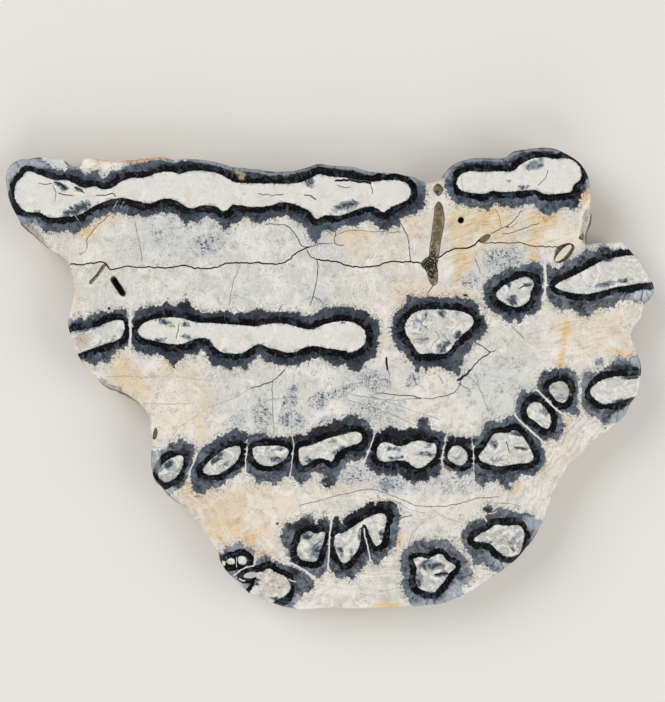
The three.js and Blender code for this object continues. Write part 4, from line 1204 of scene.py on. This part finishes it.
# each tissue starts from a base and takes layers: colour, strength, and where it lies; a place
# is a field, the values where it starts and is full, and the noises that fray it
tissues = {
    "cementum": {"base": "#E6E2D9", "layers": [  # chalk white, clouded, with hairlines and pin dots
        ("#CFCFC9", 0.7, ("cloud", 0.45, 0.66)),
        ("#F3EFE8", 0.8, ("cloud", 0.47, 0.32)),
        ("#D4D7D8", 0.7, ("stipple", 0.1, 1, {"cloud": 1.2})),
        ("#D0CDC6", 0.6, ("drift", 0.52, 0.64), ("stain", 0.5, 0.1)),
        ("#F7F4EF", 0.5, ("drift", 0.47, 0.36)),
        ("#C9C5BB", 0.35, ("mottle", 0.54, 0.66)),
        ("#B9B4A8", 0.15, ("grain", 0.55, 0.66)),
        ("#C2BDB2", 0.35, ("brushed", 0.53, 0.66)),
        ("#FBF9F5", 0.35, ("brushed", 0.46, 0.36)),
        ("#7E786D", 0.75, ("marble", 0.492, 0.5), ("marble", 0.508, 0.5), ("mottle", 0.52, 0.58)),
        ("#EACF9E", 0.85, ("stain", -0.05, 1.2, {"cloud": 0.9, "drift": 0.8}), ("stain", 0, 0.25)),
        ("#DBA865", 0.6, ("stain", 0.55, 1.5, {"drift": 1.4, "mottle": 0.8})),
        ("#C48E50", 0.3, ("scratches", 0.58, 0.64), ("stain", 0.3, 0.8, {"drift": 1.2})),
        ("#DFA873", 0.85, ("tan", 0.1, 0.6, {"mottle": 0.5})),
        ("#F8F5F0", 0.85, ("pale", 0.25, 0.8, {"mottle": 0.5})),
        ("#BDB3A2", 0.3, ("growthLines", 0.53, 0.58), ("growth", 0, 0.8, {"drift": 0.8})),
        ("#F6F3ED", 0.28, ("growthLines", 0.47, 0.42), ("growth", 0, 0.8)),
        ("#A5906B", 0.32, ("scratches", 0.58, 0.64), ("scratch", 0, 0.8, {"mottle": 1, "drift": 1})),
        ("#F7EFDF", 0.35, ("scratches", 0.43, 0.37), ("scratch", 0, 0.8, {"drift": 1})),
        ("#D8DAD9", 0.6, ("cool", 0.02, 0.2)),
        ("#D0D3D4", 0.6, ("cool", 0.15, 0.9, {"drift": 1.2, "mottle": 0.8}), ("cool", 0, 0.3)),
        ("#8C97A2", 0.75, ("cool", 0.75, 0.95, {"drift": 1.2, "mottle": 1.4, "grain": 2}),
         ("cool", 0.1, 0.4)),
        ("#3C4550", 0.9, ("dendrite", 0.465, 0.495), ("dendrite", 0.535, 0.505),
         ("cool", 0.1, 0.45, {"mottle": 1.4})),
        ("#3C4550", 0.9, ("grain", 0.57, 0.62), ("cool", 0.2, 0.7, {"mottle": 1.2})),
        ("#5F5A54", 0.7, ("drift", 0.493, 0.5), ("drift", 0.507, 0.5), ("grain", 0.5, 0.55),
         ("scratch", 0.4, 0.1)),
        ("#5F5A54", 0.7, ("dendrite", 0.487, 0.5), ("dendrite", 0.513, 0.5), ("mottle", 0.56, 0.61),
         ("stain", 0.4, 0.1)),
        ("#7A5433", 0.75, ("dendrite", 0.488, 0.5), ("dendrite", 0.512, 0.5), ("mottle", 0.5, 0.57),
         ("stain", 0.1, 0.35)),
        ("#6E6A62", 0.65, ("speck", 0.6, 0.65), ("mottle", 0.5, 0.6)),
        # the strip where the face slopes off to the bare rind
        ("#ABA495", 0.85, ("bare", 0.45, 0.8, {"mottle": 0.8}),
         ("rimAway", 0.7, 0.3, {"mottle": 0.8, "grain": 0.5})),
        ("#57534B", 0.8, ("bare", 0.45, 0.8, {"mottle": 0.8}), ("rimAway", 0.6, 0.2, {"mottle": 0.8}),
         ("brushed", 0.52, 0.58)),
        ("#5F6064", 0.85, ("speck", 0.63, 0.66), ("stipple", 0, 1, {"mottle": 1.6})),
        ("#9BA0A4", 0.75, ("enamelEdge", 0.3, -0.05, fringe), ("drift", 0.42, 0.55)),
        ("#30353C", 0.9, ("dendrite", 0.455, 0.49), ("dendrite", 0.545, 0.51),
         ("enamelEdge", 1.2, 0.2, {"mottle": 2}), ("grain", 0.46, 0.52)),
        ("#41464D", 0.8, ("speck", 0.58, 0.62), ("enamelEdge", 1, 0.1, {"mottle": 1.6})),
        ("#E6E6E3", 0.85, ("seamEdge", 0.08, -0.04)),
    ]},
    "slate": {"base": "#3F4651", "layers": [  # enamel stained blue-grey by manganese
        ("#757E89", 0.85, ("cloud", 0.51, 0.58)),
        ("#12161B", 0.85, ("cloud", 0.48, 0.4)),
        ("#68707A", 0.6, ("enamelEdge", -1, 0, {"mottle": 1})),
        ("#89919B", 0.4, ("marble", 0.56, 0.63)),
        ("#0E1217", 0.6, ("marble", 0.44, 0.385)),
        ("#1A1F26", 0.3, ("fibre", 0.53, 0.62)),
        ("#262C35", 0.6, ("mottle", 0.53, 0.61)),
        ("#747D88", 0.45, ("mottle", 0.46, 0.38)),
        ("#707C8A", 0.35, ("fibre", 0.45, 0.38)),
        ("#A7B0BB", 0.45, ("grain", 0.58, 0.65)),
        ("#101318", 0.6, ("speck", 0.58, 0.64)),
        ("#9A9EA3", 0.85, ("tone", 0, 1, {"marble": 1.3, "tuft": 0.8, "grain": 0.4}), ("tone", 0, 0.2)),
        ("#262B33", 0.85, ("tone", -0.05, -0.7, {"mottle": 0.8})),
        ("#1C2128", 0.55, ("enamelEdge", -0.22, -0.08, fringe), ("drift", 0.45, 0.55)),
        ("#1F2022", 0.95, ("charcoal", 0.1, 0.7, {"mottle": 1, "grain": 0.6})),
        ("#12151A", 0.55, ("drift", 0.5, 0.6), ("dentineEdge", 1.9, 0.95, {"mottle": 2})),
        ("#A9B1B9", 0.9, ("pale", 0.15, 0.8, {"marble": 1.2, "grain": 0.3}), ("pale", 0, 0.25)),
        ("#DFE0DE", 0.8, ("pale", 0.7, 1.2, {"fibre": 1, "grain": 1}), ("pale", 0, 0.3)),
        # painted highlight: the slate is lighter within 0.3 mm of the polished rim, standing in for light
        # caught on the rounded edge
        ("#9AA1A8", 0.8, ("rimAway", 0.3, 0, {"mottle": 1.2, "grain": 0.5})),
        ("#B5A688", 0.7, ("tan", 0.7, 1, {"mottle": 0.8, "grain": 0.5})),
    ]},
    "enamel": {"base": "slate", "layers": [  # and nearly black where it meets the dentine
        ("#06070A", 1, ("dentineEdge", 1, 0.9, {"scallop": 1.6, "innerFibre": 0.35, "jag": 0.5}),
         ("pale", 1.1, 0.75)),
        ("#3A414B", 0.8, ("mottle", 0.54, 0.62), ("dentineEdge", 1.1, 0.45)),
        ("#2B2620", 0.4, ("drift", 0.54, 0.64), ("dentineEdge", 1.1, 0.7)),
        ("#4A515B", 0.7, ("tuft", 0.57, 0.63), ("dentineEdge", 0.2, 0.7)),
        ("#5A6068", 0.6, ("speck", 0.6, 0.66)),
        ("#A89C82", 0.85, ("tan", 0.6, 1, {"mottle": 0.8, "grain": 1, "fibre": 0.6})),
    ]},
    "dentine": {"base": "#E7E6E0", "layers": [  # ivory, marbled where the mineral soaked in
        ("#D6D4CB", 0.6, ("drift", 0.48, 0.66)),
        ("#C6C2B6", 0.4, ("grain", 0.54, 0.68)),
        ("#C7B184", 0.75, ("tan", 0.25, 1, {"mottle": 1})),
        ("#6E5C3E", 0.8, ("tan", 0.2, 0.6, {"mottle": 0.8}), ("grain", 0.54, 0.6), ("drift", 0.48, 0.56)),
        ("#9FA5A8", 0.6, ("dentineEdge", -0.32, 0, {"marble": 1.8, "grain": 0.3})),
        ("#B3B5B1", 0.8, ("murk", 0.3, 0.9, {"marble": 2.2}), ("murk", 0.1, 0.4)),
        ("#7A838B", 0.85, ("murk", 0.85, 1.2, {"marble": 2.6, "grain": 0.6})),
        ("#F4F2EC", 0.65, ("marble", 0.42, 0.35)),
        ("#A89F86", 0.6, ("dendrite", 0.58, 0.66), ("murk", 0.1, 0.5)),
        ("#7E8993", 0.85, ("smudge", 0.32, 0.66, {"marble": 1.4, "grain": 0.3})),
        ("#343B44", 0.9, ("smudge", 0.66, 0.9, {"marble": 2, "grain": 0.6})),
        ("#59616A", 0.75, ("marble", 0.485, 0.5), ("marble", 0.515, 0.5), ("murk", 0.15, 0.6)),
        ("#6E7276", 0.5, ("speck", 0.62, 0.68)),
    ]},
    "mud": {"base": "#7A6F50", "layers": [  # silt that dried hard in the canals
        ("#A89A70", 0.7, ("mottle", 0.5, 0.62), ("fillingTone", 0.9, 0.5)),
        ("#3A3422", 0.85, ("fillingEdge", -0.34, 0, {"grain": 0.4})),
        ("#2E2A20", 0.9, ("fillingTone", 0.35, 0.9, {"grain": 1.6})),
        ("#1D1A15", 0.95, ("grit", 0.35, 0.75, {"grain": 1.8, "marble": 1})),
        ("#CFC9B5", 0.9, ("speck", 0.57, 0.66), ("grit", 0, 0.5)),
    ]},
    "slice": {"base": "cementum", "layers": [
        ("enamel", 1, ("enamelEdge", 0.09, -0.06, fringe),
         ("seamEdge", -0.04, 0.06, {"grain": 0.1})),
        ("dentine", 1, ("dentineEdge", -0.01, -0.1, {"grain": 0.3, "innerFibre": 0.35})),
        ("mud", 1, ("fillingEdge", 0.05, -0.06, {"grain": 0.16})),
        ("#DEDACC", 1, ("plugEdge", 0.04, -0.05, {"grain": 0.12})),
        ("#5F5545", 1, ("crackEdge", 0.05, -0.02, {"mottle": 0.1, "grain": 0.12}), ("crackTone", 0, 0.68)),
        ("#17120C", 1, ("crackEdge", 0.05, -0.03, {"mottle": 0.08}), ("crackTone", 0.4, 0.9)),
    ]},
    "sawnBack": {"base": "slice", "layers": [  # the same figure under fine white dust
        ("#D6D2C8", 0.5, ("mottle", 0.2, 0.7)),
        ("#E4E1D9", 0.16, ("sawMarks", 0.5, 0.7)),
        ("#A8A49A", 0.16, ("sawMarks", 0.48, 0.3)),
    ]},
    "rind": {"base": "#B7A88B", "layers": [  # the root's own skin, stained by the ground
        ("#8E7D60", 0.8, ("cloud", 0.42, 0.65)),
        ("#D3C7AE", 0.7, ("drift", 0.52, 0.7)),
        ("#85817A", 0.75, ("enamelEdge", 0.1, -0.4, {"mottle": 1, "fibre": 1})),
        ("#4D4A47", 0.6, ("dentineEdge", 0.8, 0.3, {"mottle": 1.2}), ("dentineEdge", -0.2, 0.1)),
        ("#6C5C41", 0.75, ("mottle", 0.54, 0.68)),
        ("#E2D9C6", 0.5, ("grain", 0.55, 0.68)),
        ("#453A29", 0.8, ("grain", 0.44, 0.34)),
        ("#3B3226", 0.9, ("fineCrackle", 0.05, 0.015), ("drift", 0.45, 0.6)),
        ("#57524B", 0.8, ("bare", 0.3, 0.8, {"mottle": 1.6, "grain": 0.8}), ("rimDepth", 3, 1)),
        ("#CBBEA4", 0.9, ("rimDepth", 1.1, 0.2, {"mottle": 1.6, "fibre": 0.8}), ("bare", 0.8, 0.3)),
    ]},
    "canalMud": {"base": "#5A4530", "layers": [("#7D6446", 0.7, ("grain", 0.48, 0.66))]},
}


# how the patterns are laid on the tooth, scales in waves a millimetre
laying = {
    "swirl": (0.7, 3),  # scale, and how far it carries
    "sway": (0.12, 2),
    "combTurn": 15,  # degrees
    "combStretch": (3.2, 0.16, 3),
    "drawnOut": (4.5, 0.55, 1),  # how much finer each way
    "bladeCentre": (-90, -140, 0),  # mm
    "growthBend": (0.13, 4),
    "growthPull": 0.05,
    "crackle": 0.55,
}


# every place that a pattern can be looked up at
def lookupPlaces(group, rimAway):
    metres = addNode(group, "ShaderNodeTexCoord", give="Object")
    place = addNode(group, "ShaderNodeVectorMath", {"operation": "SCALE", "Scale": 1 / mm}, {0: metres})
    where = {"place": place}
    for name in ("enamelFoot", "dentineFoot"):
        where[name] = addNode(group, "ShaderNodeAttribute", {"attribute_name": name}, give="Vector")
    scale, far = laying["swirl"]
    swirl = addNode(group, "ShaderNodeTexNoise", {"Scale": scale, "Detail": 2}, {"Vector": place}, "Color")
    swirled = addNode(group, "ShaderNodeVectorMath", {"operation": "MULTIPLY_ADD", 1: (far, far, far)},
                      {0: swirl, 2: place})
    where["swirled"] = swirled
    where["drawnOut"] = addNode(group, "ShaderNodeVectorMath", {"operation": "MULTIPLY",
                                1: laying["drawnOut"]}, {0: swirled})
    scale, far = laying["sway"]
    sway = addNode(group, "ShaderNodeTexNoise", {"Scale": scale, "Detail": 1}, {"Vector": place}, "Color")
    swayed = addNode(group, "ShaderNodeVectorMath", {"operation": "MULTIPLY_ADD", 1: (far, far, 0)},
                     {0: sway, 2: place})
    turn = (0, 0, math.radians(laying["combTurn"]))
    where["combed"] = addNode(group, "ShaderNodeMapping", {"vector_type": "TEXTURE", "Rotation": turn,
                              "Scale": laying["combStretch"]}, {"Vector": swayed})
    fromBlade = addNode(group, "ShaderNodeVectorMath", {"operation": "DISTANCE", 1: laying["bladeCentre"]},
                        {0: place}, "Value")
    where["sawn"] = addNode(group, "ShaderNodeCombineXYZ", {}, {"X": fromBlade})
    scale, far = laying["growthBend"]
    bend = addNode(group, "ShaderNodeTexNoise", {"Scale": scale, "Detail": 2}, {"Vector": place})
    depth = addNode(group, "ShaderNodeMath", {"operation": "MULTIPLY_ADD", 1: far}, {0: bend, 2: rimAway})
    depth = addNode(group, "ShaderNodeCombineXYZ", {}, {"X": depth})
    where["layered"] = addNode(group, "ShaderNodeVectorMath", {"operation": "MULTIPLY_ADD",
                               1: (laying["growthPull"],) * 3}, {0: place, 2: depth})
    return where


# where one part of a layer lies, from 0 to its strength, its edge frayed by noises
def layerPart(group, value, strength, what, start, full, frays=None):
    edge, shift = value[what], 0
    for pattern, amount in (frays or {}).items():
        edge = addNode(group, "ShaderNodeMath", {"operation": "MULTIPLY_ADD", 1: amount},
                       {0: value[pattern], 2: edge})
        shift += amount / 2
    return addNode(group, "ShaderNodeMapRange", {"interpolation_type": "SMOOTHSTEP",
                   "From Min": start + shift, "From Max": full + shift, "To Max": strength}, {"Value": edge})


# one group gives the colour of the cut tooth to every finish
def tissueGroup():
    group = bpy.data.node_groups.new("cutTooth", "ShaderNodeTree")
    for name in ("slice", "sawnBack", "rind", "canalMud"):
        group.interface.new_socket(name=name, in_out="OUTPUT", socket_type="NodeSocketColor")
    for name in ("enamel", "mottle", "grain", "sawMarks"):
        group.interface.new_socket(name=name, in_out="OUTPUT", socket_type="NodeSocketFloat")
    value = {}
    for name in pointFields:
        value[name] = addNode(group, "ShaderNodeAttribute", {"attribute_name": name}, give="Fac")
    where = lookupPlaces(group, value["rimAway"])
    for name, (size, detail, rough, swirls, follows) in patterns.items():
        value[name] = addNode(group, "ShaderNodeTexNoise", {"Scale": 1 / size, "Detail": detail,
                              "Roughness": rough, "Distortion": swirls}, {"Vector": where[follows]})
    value["fineCrackle"] = addNode(group, "ShaderNodeTexVoronoi", {"feature": "DISTANCE_TO_EDGE",
                                   "Scale": laying["crackle"]}, {"Vector": where["swirled"]})

    painted, masks = {}, {}
    for tissue, recipe in tissues.items():
        colour = painted.get(recipe["base"])
        for tint, strength, *parts in recipe["layers"]:
            mask = layerPart(group, value, strength, *parts[0])
            for part in parts[1:]:
                mask = addNode(group, "ShaderNodeMath", {"operation": "MULTIPLY"},
                               {0: mask, 1: layerPart(group, value, 1, *part)})
            masks[tint] = mask
            settings, links = {"data_type": "RGBA"}, {0: mask}
            for socket, source in ((6, colour or recipe["base"]), (7, painted.get(tint) or tint)):
                if isinstance(source, str):
                    settings[socket] = toLinear(source)
                else:
                    links[socket] = source
            colour = addNode(group, "ShaderNodeMix", settings, links, 2)
        painted[tissue] = colour
    given = {**value, **painted, "enamel": masks["enamel"]}
    addNode(group, "NodeGroupOutput", {}, {out.name: given[out.name] for out in group.interface.items_tree})
    return group


fossilIor = 1.63  # apatite
roughSpread = 0.1  # how much rougher the mottled spots are
# all of it is fossil tooth, by how each surface was made: which tissue colour it shows, its
# roughness, and how deep the bumps of its patterns are in mm
finishes = {
    # lapped and polished by hand: dense and satin, the harder enamel a hair proud
    "lappedFossilTooth": {"shows": "slice", "roughness": 0.21, "bumps": {"enamel": 0.01, "grain": 0.012}},
    # cut with a diamond blade and left: dull, with the blade's long arcs
    "sawnFossilTooth": {"shows": "sawnBack", "roughness": 0.5, "bumps": {"sawMarks": 0.08, "grain": 0.03}},
    # weathered in the ground: dry, brownish, pitted and finely cracked
    "weatheredFossilRind": {"shows": "rind", "roughness": 0.62, "bumps": {"mottle": 0.35, "grain": 0.2}},
    # blind canals lined with old mud: dark and matt
    "mudLinedCanal": {"shows": "canalMud", "roughness": 0.85, "bumps": {"grain": 0.1}},
}


def makeFinish(name, finish, group):
    material = bpy.data.materials.new(name)
    material.use_nodes = True
    tree = material.node_tree
    tree.nodes.clear()
    tissue = addNode(tree, "ShaderNodeGroup", {"node_tree": group}).node.outputs
    smooth = finish["roughness"]
    rough = addNode(tree, "ShaderNodeMapRange", {"To Min": smooth, "To Max": smooth + roughSpread},
                    {"Value": tissue["mottle"]})
    height = None
    for pattern, depth in finish["bumps"].items():
        links = {0: tissue[pattern]}
        if height:
            links[2] = height
        height = addNode(tree, "ShaderNodeMath", {"operation": "MULTIPLY_ADD", 1: depth * mm, 2: 0}, links)
    bump = addNode(tree, "ShaderNodeBump", {"Strength": 1, "Distance": 1}, {"Height": height})
    shader = addNode(tree, "ShaderNodeBsdfPrincipled", {"IOR": fossilIor},
                     {"Base Color": tissue[finish["shows"]], "Roughness": rough, "Normal": bump})
    addNode(tree, "ShaderNodeOutputMaterial", {}, {"Surface": shader})
    return material


group = tissueGroup()
for name, finish in finishes.items():
    mesh.materials.append(makeFinish(name, finish, group))
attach(molarSlice, "root")
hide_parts("molar_slice")
print("finishes made")


studio = {
    "lens": 100,  # mm
    "sensor": 36,  # mm wide
    "viewWidth": 102.41,  # mm across the picture at the polished face
    "viewCentre": (0.42, 4.16),  # mm
    "floorSize": 4,  # metres
    "floorColour": "#E9E7E2",
    "floorRoughness": 0.9,
    "skyColour": "#EEECE8",
    "skyStrength": 0.41,
}


def makeCamera():
    camera = bpy.data.objects.new("camera", bpy.data.cameras.new("camera"))
    camera.data.lens = studio["lens"]
    camera.data.sensor_fit = "HORIZONTAL"
    camera.data.sensor_width = studio["sensor"]
    camera.data.clip_start = 0.01
    above = studio["viewWidth"] * mm * studio["lens"] / studio["sensor"]
    x, y = studio["viewCentre"]
    camera.location = (x * mm, y * mm, cadBox[1].z + above)
    bpy.context.scene.collection.objects.link(camera)
    bpy.context.scene.camera = camera


def makeFloor():
    half = studio["floorSize"] / 2
    floorMesh = bpy.data.meshes.new("floor")
    floorMesh.from_pydata([(-half, -half, 0), (half, -half, 0), (half, half, 0), (-half, half, 0)],
                          [], [(0, 1, 2, 3)])
    floor = bpy.data.objects.new("floor", floorMesh)
    bpy.context.scene.collection.objects.link(floor)
    paper = bpy.data.materials.new("paperBackdrop")
    paper.use_nodes = True
    shader = paper.node_tree.nodes["Principled BSDF"]
    shader.inputs["Base Color"].default_value = toLinear(studio["floorColour"])
    shader.inputs["Roughness"].default_value = studio["floorRoughness"]
    floorMesh.materials.append(paper)


softboxes = {  # name: place in metres, size in metres, watts
    "keyLeft": ((-0.55, 0.35, 0.6), 0.6, 3.65),
    "fillRight": ((0.6, -0.1, 0.55), 0.6, 2.45),
    "frontLow": ((0.0, -0.65, 0.5), 0.6, 1.9),
}


def makeLights():
    for name, (place, size, watts) in softboxes.items():
        light = bpy.data.lights.new(name, "AREA")
        light.size = size
        light.energy = watts
        lamp = bpy.data.objects.new(name, light)
        lamp.location = place
        lamp.rotation_euler = (-Vector(place)).to_track_quat("-Z", "Y").to_euler()
        bpy.context.scene.collection.objects.link(lamp)
    world = bpy.data.worlds.new("studio")
    bpy.context.scene.world = world
    world.use_nodes = True
    background = world.node_tree.nodes["Background"]
    background.inputs["Color"].default_value = toLinear(studio["skyColour"])
    background.inputs["Strength"].default_value = studio["skyStrength"]
    world.cycles_visibility.glossy = False
    bpy.context.scene.view_settings.view_transform = "Standard"


makeCamera()
makeFloor()
makeLights()
print("camera, floor and lights made")
